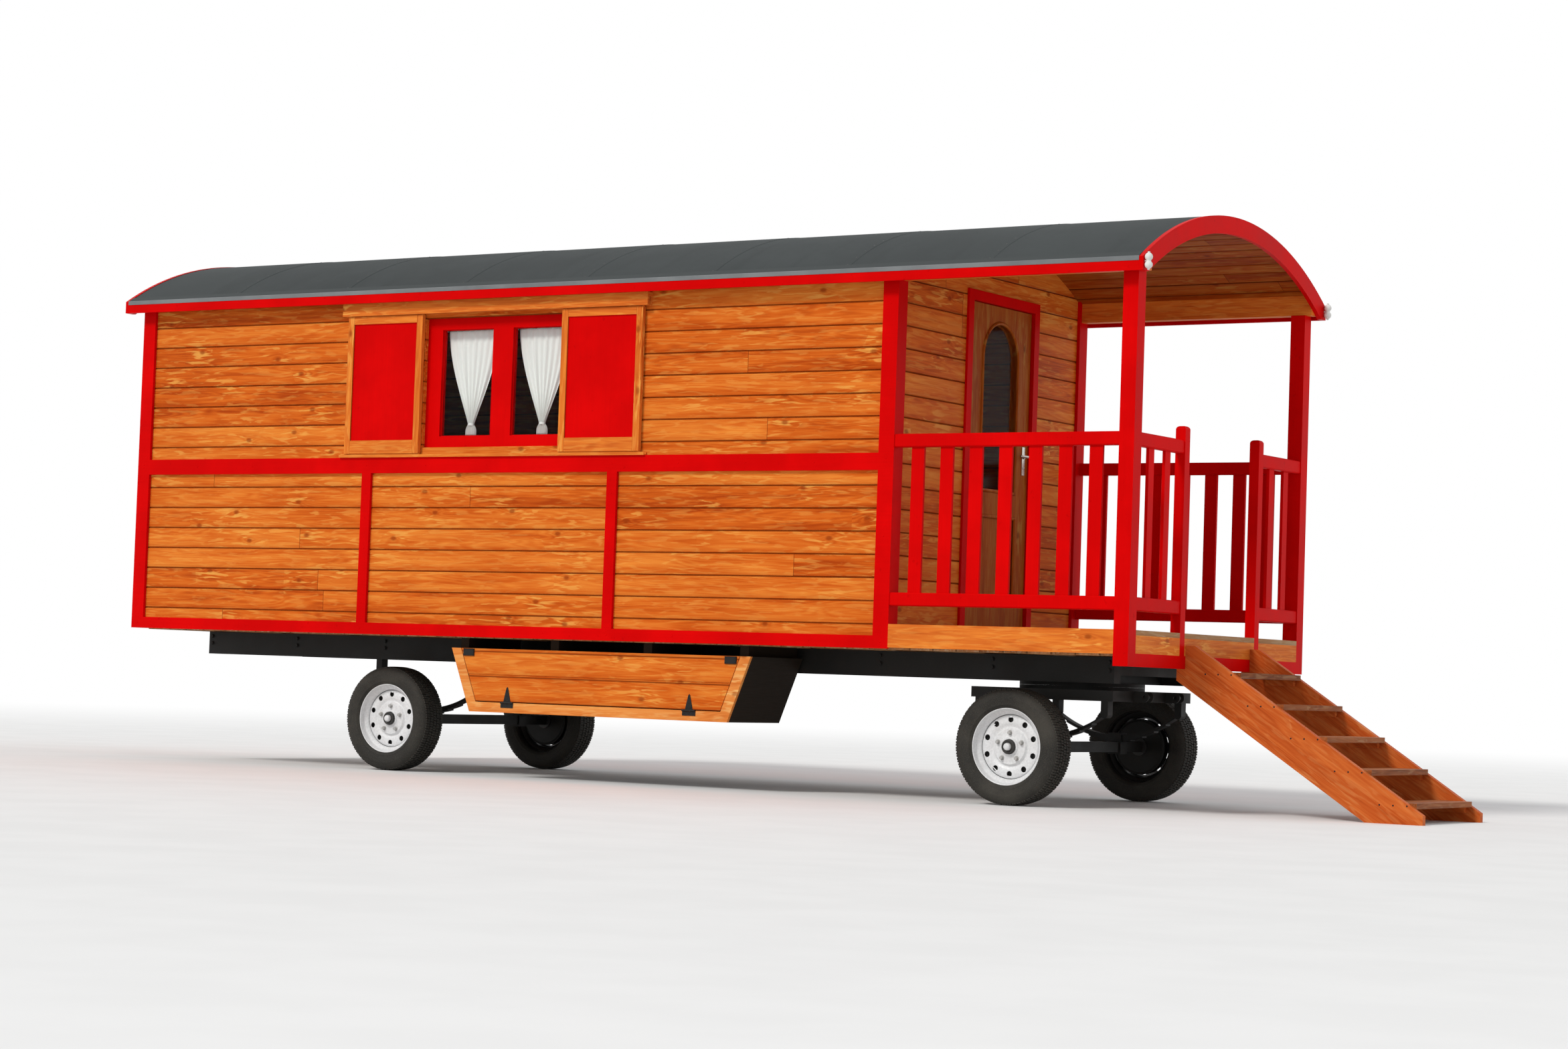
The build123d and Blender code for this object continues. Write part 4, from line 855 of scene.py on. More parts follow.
# Pieces, each with the sizes that only it uses


class VARDO_OT_finishes(bpy.types.Operator):
    """Give each carried-over node its finish"""

    bl_idname = "vardo.finishes"
    bl_label = "Finishes"

    def execute(self, context):
        for name, node in NODES.items():
            material = finish(node_finish(name))
            if not node.data.materials:
                node.data.materials.append(material)
            for index in range(len(node.data.materials)):
                node.data.materials[index] = material
        return {"FINISHED"}


TYRE_RADIUS = 0.325


def tyre_profile(depth):
    """Half of a tyre's section, as (radius, distance from the middle), bead to tread."""
    base = TYRE_RADIUS - depth
    return [
        (0.2125, 0.0780), (0.2155, 0.0850), (0.2190, 0.0885), (0.2300, 0.0935), (0.2320, 0.0952), (0.2350, 0.0952),
        (0.2370, 0.0950), (0.2480, 0.0982), (0.2600, 0.0998), (0.2720, 0.0996), (0.2740, 0.0999), (0.2770, 0.0996),
        (0.2880, 0.0975), (0.2980, 0.0940), (0.3060, 0.0895), (0.3120, 0.0835), (base - 0.0010, 0.0790),
        (base, 0.0740),
    ]


# Tread blocks across a tyre: from, to, both as a share of the half width, and how far each is set round
TREAD_RIBS = ((-1.0, -0.62, 0.0), (-0.56, -0.22, 0.45), (-0.16, 0.16, 0.1), (0.22, 0.56, 0.55), (0.62, 1.0, 0.0))
TREAD_HALF_WIDTH = 0.0805
TREAD_ROOT = 0.002  # how deep a block reaches into the carcass
TREAD_TAPER = 0.0012
TREAD_SLANT = 0.35  # how far the blocks at a shoulder are turned ahead, in steps
TREAD_DROP = 0.0045  # how much lower the tread is at a shoulder
TREAD_GAP = 0.16  # groove between two rows, in steps
BLOCK_FACES = ((0, 1, 2, 3), (4, 5, 6, 7), (0, 1, 5, 4), (1, 2, 6, 5), (2, 3, 7, 6), (3, 0, 4, 7))


def tread_module(depth, step):
    """One row of tread blocks across the tyre, round an axle at the origin."""
    bm = bmesh.new()
    base = TYRE_RADIUS - depth - TREAD_ROOT
    for start, end, shift in TREAD_RIBS:
        for low, high in ((0.0, 0.40), (0.44, 0.84)):
            corners = []
            for radius, inset in ((base, 0.0), (TYRE_RADIUS, TREAD_TAPER)):
                first, last = start * TREAD_HALF_WIDTH + inset, end * TREAD_HALF_WIDTH - inset
                for along, angle in ((first, low), (last, low), (last, high), (first, high)):
                    slant = TREAD_SLANT * along / TREAD_HALF_WIDTH
                    turn = (angle + shift + slant) * step + TREAD_GAP * step / 2
                    turn += (inset / radius) * (1 if angle == low else -1)
                    drop = TREAD_DROP * (abs(along) / TREAD_HALF_WIDTH) ** 4
                    reach = radius - (drop if radius == TYRE_RADIUS else 0.0)
                    corners.append(bm.verts.new((reach * math.sin(turn), along, reach * math.cos(turn))))
            for face in BLOCK_FACES:
                bm.faces.new([corners[i] for i in face])
    return mesh_of(bm, "tread module")


class VARDO_OT_tyres(bpy.types.Operator):
    """Make the four tyres with their side walls and tread blocks"""

    bl_idname = "vardo.tyres"
    bl_label = "Tyres"

    def execute(self, context):
        props = context.scene.vardo_wheels
        step = math.tau / props.tread_steps
        half = tyre_profile(props.tread_depth)
        profile = half + [(radius, -along) for radius, along in reversed(half)]
        for axle, side in WHEELS:
            node = f"tyre_{axle}_{side}"
            centre = middle(node)
            bm = bmesh.new()
            lathe(bm, profile, centre, OUTWARD[side], segments=120)
            carcass = mesh_of(bm, "carcass", 40)
            values = {
                "Count": props.tread_steps,
                "Centre": centre,
                "Step Angle": step,
                "Material": finish("rubber"),
            }
            blocks = grown_mesh(tread_module(props.tread_depth, step), "ring", values)
            mesh = joined_mesh(f"treaded_{node}", [carcass, blocks])
            piece = place_piece(f"treaded_{node}", mesh, f"wheel_{axle}_{side}", "rubber")
            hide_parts(node)
        return {"FINISHED"}


# Closed profiles of a wheel's parts, as (radius, distance outwards from the wheel's middle)
BARREL = [
    (0.2150, 0.0800), (0.2148, 0.0825), (0.2125, 0.0839), (0.2095, 0.0828), (0.2078, 0.0790), (0.2070, 0.0720),
    (0.2045, 0.0660), (0.2035, 0.0560), (0.1985, 0.0500), (0.1840, 0.0420), (0.1800, 0.0360), (0.1800, -0.0200),
    (0.1850, -0.0300), (0.2030, -0.0450), (0.2050, -0.0700), (0.2080, -0.0790), (0.2125, -0.0839),
    (0.2150, -0.0800), (0.2120, -0.0740), (0.2085, -0.0700), (0.2070, -0.0430), (0.1880, -0.0260),
    (0.1845, -0.0180), (0.1845, 0.0340), (0.1870, 0.0380), (0.2020, 0.0470), (0.2075, 0.0540), (0.2085, 0.0700),
    (0.2120, 0.0740),
]
HUB_END = [
    (0.0405, 0.0300), (0.0405, 0.0610), (0.0385, 0.0640), (0.0330, 0.0650), (0.0300, 0.0620), (0.0220, 0.0610),
    (0.0, 0.0610), (0.0, 0.0300),
]
HUB = [(0.0, 0.0310), (0.0440, 0.0310), (0.0520, 0.0190), (0.0520, -0.0595), (0.0, -0.0595)]
BRAKE_DRUM = [
    (0.0450, 0.0180), (0.1510, 0.0180), (0.1600, 0.0160), (0.1630, 0.0110), (0.1630, 0.0020), (0.1605, 0.0005),
    (0.1605, -0.0340), (0.1650, -0.0360), (0.1650, -0.0430), (0.1570, -0.0440), (0.1510, -0.0490),
    (0.0450, -0.0490),
]
GREASE_CAP = [
    (0.0205, 0.0600), (0.0205, 0.0740), (0.0190, 0.0790), (0.0150, 0.0825), (0.0080, 0.0838), (0.0, 0.0840),
    (0.0, 0.0600),
]
# Outer face of the pressed disc, rim to hub: its outer band carries the vents, and a groove runs inside it
DISC_BAND, DISC_GROOVE = 0.0360, 0.0288
DISC_FACE = [
    (0.1802, 0.0080), (0.1795, 0.0210), (0.1760, 0.0310), (0.1690, DISC_BAND), (0.1330, 0.0365), (0.1250, 0.0345),
    (0.1160, 0.0300), (0.1100, DISC_GROOVE), (0.1060, 0.0305), (0.1020, 0.0370), (0.0970, 0.0410),
    (0.0600, 0.0410), (0.0545, 0.0430), (0.0520, 0.0475), (0.0490, 0.0490), (0.0420, 0.0490),
]
DISC_GAUGE = 0.005
NUT_SEAT = 0.0408
# Turned parts: piece, profiles, segments, slot and finish
TURNED = (
    ("hub", (HUB_END, HUB), 48, "chassis_black", "hub_grey"),
    ("brake_drum", (BRAKE_DRUM,), 64, "chassis_black", "chassis_black"),
    ("grease_cap", (GREASE_CAP,), 32, "rim_white", "wheel_silver"),
)


def wheel_disc(centre, outward, props):
    """The pressed disc, with its round vents cut through."""
    bm = bmesh.new()
    back = [(radius, along - DISC_GAUGE) for radius, along in reversed(DISC_FACE)]
    lathe(bm, DISC_FACE + back, centre, outward)
    disc = put("disc", mesh_of(bm, "disc"))
    bm = bmesh.new()
    for angle in turns(props.vents):
        place = (
            centre.x + props.vent_circle * math.sin(angle),
            centre.y + outward * DISC_BAND,
            centre.z + props.vent_circle * math.cos(angle),
        )
        peg(bm, place, "X", 24, props.vent_radius, 0.03)
    cutter = put("cutter", mesh_of(bm, "cutter"))
    cut = disc.modifiers.new("Vents", "BOOLEAN")
    cut.operation, cut.solver, cut.object = "DIFFERENCE", "EXACT", cutter
    return plain_mesh(disc, cutter)


class VARDO_OT_wheels(bpy.types.Operator):
    """Make the four pressed wheels, with their hubs, brake drums, grease caps and nuts"""

    bl_idname = "vardo.wheels"
    bl_label = "Wheels"

    def execute(self, context):
        props = context.scene.vardo_wheels
        for axle, side in WHEELS:
            node, body = f"rim_{axle}_{side}", f"wheel_{axle}_{side}"
            centre, outward = middle(f"tyre_{axle}_{side}"), OUTWARD[side]
            bm = bmesh.new()
            lathe(bm, BARREL, centre, outward)
            barrel = mesh_of(bm, "barrel")
            bm = bmesh.new()
            bm.from_mesh(joined_mesh("wheel", [barrel, wheel_disc(centre, outward, props)]))
            piece = piece_of(bm, f"pressed_{node}", 38, body, "wheel_silver")
            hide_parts(node)

            for part, profiles, segments, slot, material in TURNED:
                bm = bmesh.new()
                for profile in profiles:
                    lathe(bm, profile, centre, outward, segments)
                piece_of(bm, f"{part}_{axle}_{side}", 38, body, material)

            nuts = []
            for angle in turns(props.nuts):
                offset = Vector((math.sin(angle), 0, math.cos(angle))) * props.nut_circle
                nuts.append((centre + offset + Vector((0, outward * NUT_SEAT, 0)), (0, outward, 0)))
            fasteners(f"wheel_nuts_{axle}_{side}", "wheel_nut", nuts, body, "zinc")
        return {"FINISHED"}


BOARD_THICK = 0.024
V_LAND = 0.0004  # how far the two chamfers of a V joint stand back from each other


class VARDO_OT_roof_boards(bpy.types.Operator):
    """Make the arched roof lining from single boards with a V joint at each seam"""

    bl_idname = "vardo.roof_boards"
    bl_label = "Roof boards"

    def execute(self, context):
        props = context.scene.vardo_cover
        low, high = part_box("roof_lining")
        under = high.z - ROOF_CENTRE - BOARD_THICK
        upper = high.z - ROOF_CENTRE
        half_angle = math.asin(high.y / upper)
        step = 2 * half_angle / props.board_count
        half_low, half_high = under * math.tan(step / 2), upper * math.tan(step / 2)
        chamfer, sag = props.board_chamfer, upper * (1 - math.cos(step / 2))
        section = [
            (-half_high, upper - sag),
            (half_high, upper - sag),
            (half_low - V_LAND, under + chamfer),
            (half_low - chamfer, under),
            (chamfer - half_low, under),
            (V_LAND - half_low, under + chamfer),
        ]
        bm = bmesh.new()
        ends = [[bm.verts.new((x, y, z)) for y, z in section] for x in (low.x, high.x)]
        join_rings(bm, ends, len(section), closed_loop=False)
        for end in ends:
            bm.faces.new(end)
        values = {
            "Count": props.board_count,
            "Centre": Vector((0, 0, ROOF_CENTRE)),
            "Axis": Vector((1, 0, 0)),
            "First Angle": step / 2 - half_angle,
            "Step Angle": step,
            "Material": finish("soffit_boards"),
        }
        grown = grown_mesh(mesh_of(bm, "roof board"), "ring", values)
        piece = place_piece("roof_boards", grown, "wagon", "soffit_boards")
        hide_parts("roof_lining")
        return {"FINISHED"}


# Depths below the roof's outer arc of a strip's rear end, its front end, the nails in its lap and the underside
STRIP_LOW, STRIP_HIGH, NAIL_BED, STRIP_UNDER = 0.0042, 0.0022, 0.0025, 0.006
LAP, NAIL_INSET = 0.003, 0.022


class VARDO_OT_roofing(bpy.types.Operator):
    """Make the lapped roofing strips and the nails along their laps"""

    bl_idname = "vardo.roofing"
    bl_label = "Roofing"

    def execute(self, context):
        props = context.scene.vardo_cover
        low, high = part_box("roof_sheet")
        count = round((high.x - low.x) / props.strip_width)
        width = (high.x - low.x) / count
        across = []
        for number in range(count):
            x = low.x + number * width
            across.append((x + (LAP if number else 0.0), ROOF_RADIUS - STRIP_LOW))
            across.append((x + width, ROOF_RADIUS - STRIP_HIGH))
        across += [(high.x, ROOF_RADIUS - STRIP_UNDER), (low.x, ROOF_RADIUS - STRIP_UNDER)]
        segments = 72
        half_angle = math.asin(high.y / ROOF_RADIUS)
        bm = bmesh.new()
        rows = []
        for step in range(segments + 1):
            angle = -half_angle + 2 * half_angle * step / segments
            rows.append(
                [bm.verts.new((x, r * math.sin(angle), ROOF_CENTRE + r * math.cos(angle))) for x, r in across]
            )
        join_rings(bm, rows, len(across), closed_loop=False)
        for end in (rows[0], rows[-1]):
            bm.faces.new(end)
        piece = piece_of(bm, "roofing_strips", 20, "wagon", "roofing")
        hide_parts("roof_sheet")

        nails = []
        radius = ROOF_RADIUS - NAIL_BED
        total = int(2 * half_angle * radius / props.nail_pitch)
        for number in range(1, count):
            for step in range(total + 1):
                angle = (step / total - 0.5) * 2 * (half_angle - 0.03)
                facing = Vector((0, math.sin(angle), math.cos(angle)))
                x = low.x + number * width - NAIL_INSET
                nails.append((Vector((x, 0, ROOF_CENTRE)) + facing * radius, facing))
        fasteners("roof_nails", "nail", nails, "wagon", "hub_grey")
        return {"FINISHED"}


# Lower half of an ornament, as (radius, height over its middle)
FINIAL = [
    (0.0, -0.050), (0.0045, -0.0495), (0.0075, -0.0465), (0.0065, -0.0430), (0.0120, -0.0400),
    (0.0185, -0.0330), (0.0218, -0.0230), (0.0205, -0.0130), (0.0150, -0.0060), (0.0125, -0.0020),
]
FINIAL_RADIUS = 0.022
FINIAL_PEG, FINIAL_PEG_RADIUS = 0.016, 0.005  # length and radius of the peg into the eave


class VARDO_OT_finials(bpy.types.Operator):
    """Make the turned white ornaments at the front ends of the eaves"""

    bl_idname = "vardo.finials"
    bl_label = "Finials"

    def execute(self, context):
        low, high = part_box("eave_ornaments")
        segments = 32
        profile = FINIAL + [(r, -z) for r, z in reversed(FINIAL)]
        bm = bmesh.new()
        for way in (-1, 1):
            x, y, z = high.x - FINIAL_RADIUS, way * (high.y - FINIAL_RADIUS), (low.z + high.z) / 2
            rings = []
            for r, height in profile:
                angles = turns(segments if r else 1)
                rings.append([bm.verts.new((x + r * math.cos(a), y + r * math.sin(a), z + height)) for a in angles])
            join_rings(bm, rings, segments, closed_loop=False)
            peg(bm, (low.x + FINIAL_PEG / 2, y, z), "Y", 16, FINIAL_PEG_RADIUS, FINIAL_PEG)
        piece = piece_of(bm, "eave_finials", 50, "wagon", "white_paint")
        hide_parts("eave_ornaments")
        return {"FINISHED"}


def pane_boxes():
    """Low and high corners of the four window panes, as (side, end, low, high)."""
    low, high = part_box("window_glass")
    centres = sorted({round(v.co.x, 4) for v in NODES["window_glass"].data.vertices})
    panes = []
    for side in (NEAR, FAR):
        outer = max(abs(low.y), abs(high.y)) * OUTWARD[side]
        for end, (first, last) in (("rear", centres[:2]), ("front", centres[-2:])):
            panes.append((side, end, Vector((first, outer, low.z)), Vector((last, outer, high.z))))
    return panes


def curtain_width(share, tie):
    """A curtain's width over its pane's, at a share of the drop, with the tie at another share."""
    if share < tie:
        return 0.09 + 0.895 * (1 - (share / tie) ** 1.7) ** 1.15
    run = min(1.0, (share - tie) / 0.06)
    return 0.09 + 0.10 * math.sin(run * math.pi / 2)


CURTAIN_TOP, CURTAIN_SHORTER = 0.004, 0.012  # start of the cloth below the pane's top, and its loss of length
CURTAIN_BACK = 0.044  # from the outer face of the pane to the middle of the cloth
TIE_GIRTH, TIE_DEPTH = 0.047, 0.013  # half length of the tie over the pane's width, and its half depth
ROD_BELOW = 0.002  # from the pane's top to the middle of the rod
ROD_RADIUS, BALL_RADIUS = 0.004, 0.008
ROD_PAST, BALL_PAST = 0.012, 0.014  # how far the rod and its balls' middles reach past the pane


class VARDO_OT_curtains(bpy.types.Operator):
    """Hang a tied curtain from a rod behind each pane"""

    bl_idname = "vardo.curtains"
    bl_label = "Curtains"

    def execute(self, context):
        props = context.scene.vardo_curtains
        for side, end, low, high in pane_boxes():
            pane_width, drop = high.x - low.x, high.z - low.z - CURTAIN_SHORTER
            centre_x, back = (low.x + high.x) / 2, low.y - OUTWARD[side] * CURTAIN_BACK
            mesh = self.cloth(f"curtain_{side}_{end}", centre_x, back, high.z, pane_width, drop, OUTWARD[side])
            piece = place_piece(f"curtain_{side}_{end}", mesh, "wagon", "curtain")
            solid = piece.modifiers.new("Cloth", "SOLIDIFY")
            solid.thickness, solid.offset = props.thickness, 0.0
            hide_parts("curtains")

            tie_z = high.z - CURTAIN_TOP - drop * props.tie_share
            tie = self.tie(f"curtain_tie_{side}_{end}", centre_x, back, tie_z, pane_width)
            rod = self.rod(f"curtain_rod_{side}_{end}", low, high, back)
        return {"FINISHED"}

    def cloth(self, name, centre_x, back, top, pane_width, drop, out):
        """The gathered cloth, with its flat cut as UV."""
        props = bpy.context.scene.vardo_curtains
        columns, rows = 18 * props.folds, 84
        cut = pane_width * props.fullness
        bm = bmesh.new()
        uv = bm.loops.layers.uv.new("cloth")
        grid = []
        for row in range(rows + 1):
            share = row / rows
            width = pane_width * curtain_width(share, props.tie_share)
            crowd = 1 - width / pane_width
            depth = 0.0040 + 0.0040 * crowd**1.3
            z = top - CURTAIN_TOP - drop * share
            line = []
            for column in range(columns + 1):
                across = column / columns - 0.5
                wave = math.sin(column / columns * math.tau * props.folds + 0.5 * math.sin(7 * across + share))
                swell = 0.6 * math.sin(31 * across + 5 * share)
                lean = 0.0015 * math.sin(23 * across)
                y = back + out * (depth * (wave + swell * 0.35) + lean)
                line.append(bm.verts.new((centre_x + across * width, y, z)))
            grid.append(line)
        for row in range(rows):
            for column in range(columns):
                corners = ((row, column), (row, column + 1), (row + 1, column + 1), (row + 1, column))
                face = bm.faces.new([grid[r][c] for r, c in corners])
                face.smooth = True
                for loop, (r, c) in zip(face.loops, corners):
                    loop[uv].uv = (c / columns * cut, -r / rows * drop)
        mesh = bpy.data.meshes.new(name)
        bm.to_mesh(mesh)
        bm.free()
        return mesh

    def tie(self, name, x, y, z, pane_width):
        """A soft band round the gathered cloth."""
        bm = bmesh.new()
        rings, sides = [], 10
        long, short = pane_width * TIE_GIRTH, TIE_DEPTH
        for angle in turns(40):
            ring = []
            for bend in turns(sides):
                grow = 1 + 0.16 * math.cos(bend)
                height = z + 0.008 * math.sin(bend) + 0.0015 * math.sin(3 * angle)
                place = (x + long * grow * math.cos(angle), y + short * grow * math.sin(angle), height)
                ring.append(bm.verts.new(place))
            rings.append(ring)
        join_rings(bm, rings, sides)
        return piece_of(bm, name, 60, "wagon", "curtain")

    def rod(self, name, low, high, y):
        """A thin rod at the top of the pane, with a ball on each end."""
        z = high.z - ROD_BELOW
        bm = bmesh.new()
        bm.from_mesh(bar_mesh(name, ROD_RADIUS, 4, [(x, y, z) for x in (low.x - ROD_PAST, high.x + ROD_PAST)]))
        for x in (low.x - BALL_PAST, high.x + BALL_PAST):
            bmesh.ops.create_icosphere(bm, subdivisions=2, radius=BALL_RADIUS, matrix=Matrix.Translation((x, y, z)))
        return piece_of(bm, name, 50, "wagon", "handle_metal")


# Sections of a glazing bead and of the door's moulding, as (inwards, outwards)
BEAD = [(0.0, 0.0), (0.005, 0.0), (0.005, 0.002), (0.004, 0.004), (0.002, 0.005), (0.0, 0.005)]
MOULDING = [
    (0.016, 0.0), (-0.004, 0.0), (-0.004, 0.004), (0.0, 0.009), (0.006, 0.011), (0.012, 0.008), (0.016, 0.003),
]
DOOR_PANEL = (1.142, 1.662)  # heights of the foot and the top of the door's lower panel
PANEL_PAST = 0.01  # how much further the panel reaches to each side than the glass
DOOR_THICK = 0.04


class VARDO_OT_beading(bpy.types.Operator):
    """Make the glazing beads of the windows and the mouldings of the door"""

    bl_idname = "vardo.beading"
    bl_label = "Beading"

    def execute(self, context):
        bm = bmesh.new()
        for side, _, low, high in pane_boxes():
            out = OUTWARD[side]
            corners = ((low.x, low.z), (high.x, low.z), (high.x, high.z), (low.x, high.z))
            path = [(x, low.y, z) for x, z in corners]
            sweep(bm, path[::-out], (0, out, 0), BEAD)
        piece_of(bm, "glazing_beads", 40, "wagon", "red_upright")

        bm = bmesh.new()
        glass_low, glass_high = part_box("door_glass")
        centre_y, half = (glass_low.y + glass_high.y) / 2, (glass_high.y - glass_low.y) / 2
        spring = glass_high.z - half
        arch = [
            (centre_y + half * math.cos(a), spring + half * math.sin(a))
            for a in (math.pi * step / 24 for step in range(25))
        ]
        outline = [(glass_high.y, glass_low.z), *arch, (glass_low.y, glass_low.z)]
        right, left = glass_high.y + PANEL_PAST, glass_low.y - PANEL_PAST
        foot, top = DOOR_PANEL
        panel = [(right, top), (left, top), (left, foot), (right, foot)]
        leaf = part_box("cabin_door")[1].x
        for x, way in ((leaf, 1), (leaf - DOOR_THICK, -1)):
            for points in (outline, panel):
                path = [(x, y, z) for y, z in points]
                sweep(bm, path[::way], (way, 0, 0), MOULDING)
        piece_of(bm, "door_mouldings", 40, "door", "door_wood")
        return {"FINISHED"}


# The lever's plate, and its height, with the lock's, above the foot of the plate
PLATE_THICK, PLATE_HALF, PLATE_HEIGHT = 0.004, 0.018, 0.170
LEVER_HEIGHT, LOCK_HEIGHT = 0.110, 0.045
LEVER_RADIUS = 0.0075


class VARDO_OT_door_lever(bpy.types.Operator):
    """Make the lever handles with their plates on both faces of the door"""

    bl_idname = "vardo.door_lever"
    bl_label = "Door lever"

    def execute(self, context):
        low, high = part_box("door_handle")
        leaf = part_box("cabin_door")[1].x
        y = high.y - PLATE_HALF
        meshes = []
        for face, way in ((leaf, 1), (leaf - DOOR_THICK, -1)):
            reach = (high.x if way > 0 else low.x) - face
            bm = bmesh.new()
            back, front = sorted((face, face + way * PLATE_THICK))
            block(bm, (back, y - PLATE_HALF, low.z), (front, y + PLATE_HALF, low.z + PLATE_HEIGHT), 0.0015)
            for height, size in ((LEVER_HEIGHT, 0.012), (LOCK_HEIGHT, 0.007)):
                peg(bm, (face + way * size / 2, y, low.z + height), "Y", 24, size, size, taper=0.9)
            meshes.append(mesh_of(bm, "plate", 40))
            bend = face + reach - way * 0.0085
            route = [
                (face, y), (face + way * 0.02, y), (bend, y), (bend, y - 0.02), (bend, y - 0.06),
                (bend, y - 0.088), (bend - way * 0.006, y - 0.098),
            ]
            route = [(*place, low.z + LEVER_HEIGHT) for place in route]
            spline = {"order_u": 3, "use_endpoint_u": True, "resolution_u": 8}
            meshes.append(bar_mesh("lever", LEVER_RADIUS, 5, route, "NURBS", **spline))
        mesh = joined_mesh("door_levers", meshes)
        piece = place_piece("door_levers", mesh, "door", "handle_metal")
        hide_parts("door_handle")
        return {"FINISHED"}


# Heights of the trim's screws: in the base and belt rails, and of the lowest and the highest in an upright
RAIL_SCREWS = (0.881, 1.893)
POST_FOOT, POST_TOP, BATTEN_TOP = 1.04, 2.78, 1.72
TRIM_INSET = 0.05  # of the first screws from the ends of the trim
BATTENS = (1.933, 3.809)  # distance of the battens from the rear end of the trim
JOISTS = (-0.98, -0.52, 0.0, 0.52, 0.98)
DECK_PITCH, DECK_SCREWS = 0.148, (0.28, 0.76)  # deck boards, and the place of the screws as shares of one
STRINGER_SCREWS = (0.04, 0.118, 0.195)  # behind the nose of the tread
RING_BOLTS, RING_BOLT_CIRCLE = 16, 0.336
# Screws in a strap hinge, as (along, height), and half widths of a hinge's base and of a catch
FLAP_SCREWS = ((-0.013, 0.472), (0.013, 0.472), (0.0, 0.498), (0.0, 0.524))
HALF_HINGE, HALF_CATCH = 0.046, 0.040


class VARDO_OT_fasteners(bpy.types.Operator):
    """Put the screws and bolts on the wagon and its moving pieces"""

    bl_idname = "vardo.fasteners"
    bl_label = "Fasteners"

    def execute(self, context):
        self.trim_screws()
        self.deck_screws()
        self.stair_screws()
        self.chassis_bolts()
        self.ring_bolts()
        self.chest_screws()
        return {"FINISHED"}

    def trim_screws(self):
        """Painted screw heads along the red rails, battens and corner boards."""
        low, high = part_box("wall_trim")
        rear, front = low.x + TRIM_INSET, high.x - TRIM_INSET
        uprights = [(rear, POST_TOP, 5), (front, POST_TOP, 5)]
        uprights += [(low.x + distance, BATTEN_TOP, 3) for distance in BATTENS]
        points = []
        for out in OUTWARD.values():
            y, facing = high.y * out, (0, out, 0)
            for z in RAIL_SCREWS:
                points += line_of((rear, y, z), (front, y, z), 13, facing)
            for x, top, count in uprights:
                points += line_of((x, y, POST_FOOT), (x, y, top), count, facing)
        for z in RAIL_SCREWS:
            points += line_of((low.x, low.y + 0.16, z), (low.x, high.y - 0.16, z), 5, (-1, 0, 0))
        fasteners("trim_screws", "screw", points, "wagon", "red_paint")

    def deck_screws(self):
        """Two screws in each deck board over each joist."""
        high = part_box("floor_boards")[1]
        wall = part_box("wall_porch")[1].x
        count = round((high.x - wall) / DECK_PITCH)
        pitch = (high.x - wall) / count
        places = [wall + (number + share) * pitch for number in range(count) for share in DECK_SCREWS]
        points = [(Vector((x, y, high.z)), (0, 0, 1)) for x in places for y in JOISTS]
        fasteners("deck_screws", "screw", points, "wagon", "zinc")

    def stair_screws(self):
        """Three screws through the stringer into the end of each tread."""
        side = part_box("stair_stringers")[1].y
        points = [
            (Vector((nose - back, side * out, top - TREAD_THICK / 2)), (0, out, 0))
            for nose, top in tread_noses() for out in OUTWARD.values() for back in STRINGER_SCREWS
        ]
        fasteners("stair_screws", "screw", points, "wagon", "iron")

    def chassis_bolts(self):
        """Pairs of bolts along the chassis rails, one at each cross member."""
        low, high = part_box("chassis_frame")
        members = 9
        points = []
        for out in OUTWARD.values():
            for number in range(members + 1):
                x = low.x + 0.03 + number * (high.x - low.x - 0.06) / members
                for z in (high.z - 0.03, high.z - 0.075):
                    points.append((Vector((x, high.y * out, z)), (0, out, 0)))
        fasteners("chassis_bolts", "bolt", points, "wagon", "chassis_black")

    def ring_bolts(self):
        """Bolts under the turning ring of the turntable."""
        x, z = middle("turntable_ring").x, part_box("turning_ring")[0].z
        places = [
            (x + RING_BOLT_CIRCLE * math.cos(angle), RING_BOLT_CIRCLE * math.sin(angle), z)
            for angle in turns(RING_BOLTS, 0.5)
        ]
        points = [(Vector(place), (0, 0, -1)) for place in places]
        fasteners("ring_bolts", "small_bolt", points, "steering", "chassis_black")

    def chest_screws(self):
        """Screws in the strap hinges, their base plates and the catches."""
        base_low, base_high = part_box("chest_fittings")
        catch_low, catch_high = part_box("chest_catches")
        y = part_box("chest_door")[0].y - 0.003
        flap, sill = [], []
        for x in (base_low.x + HALF_HINGE, base_high.x - HALF_HINGE):
            flap += [(x + dx, y, z) for dx, z in FLAP_SCREWS]
            sill += [(x + dx, y, base_low.z + 0.012) for dx in (-0.034, 0.0, 0.034)]
        z = (catch_low.z + catch_high.z) / 2
        for x in (catch_low.x + HALF_CATCH, catch_high.x - HALF_CATCH):
            flap += [(x + dx, catch_low.y, z + dz) for dz in (-0.013, 0.013) for dx in (-0.030, 0.030)]
        for name, places, body in (("flap_screws", flap, "chest_flap"), ("sill_screws", sill, "wagon")):
            points = [(Vector(place), (0, -1, 0)) for place in places]
            fasteners(name, "screw", points, body, "iron")


CLEAT_SIZE = 0.032
CLEAT_BACK, CLEAT_FRONT = 0.205, 0.030  # how far the cleat's ends stand behind the nose of the tread


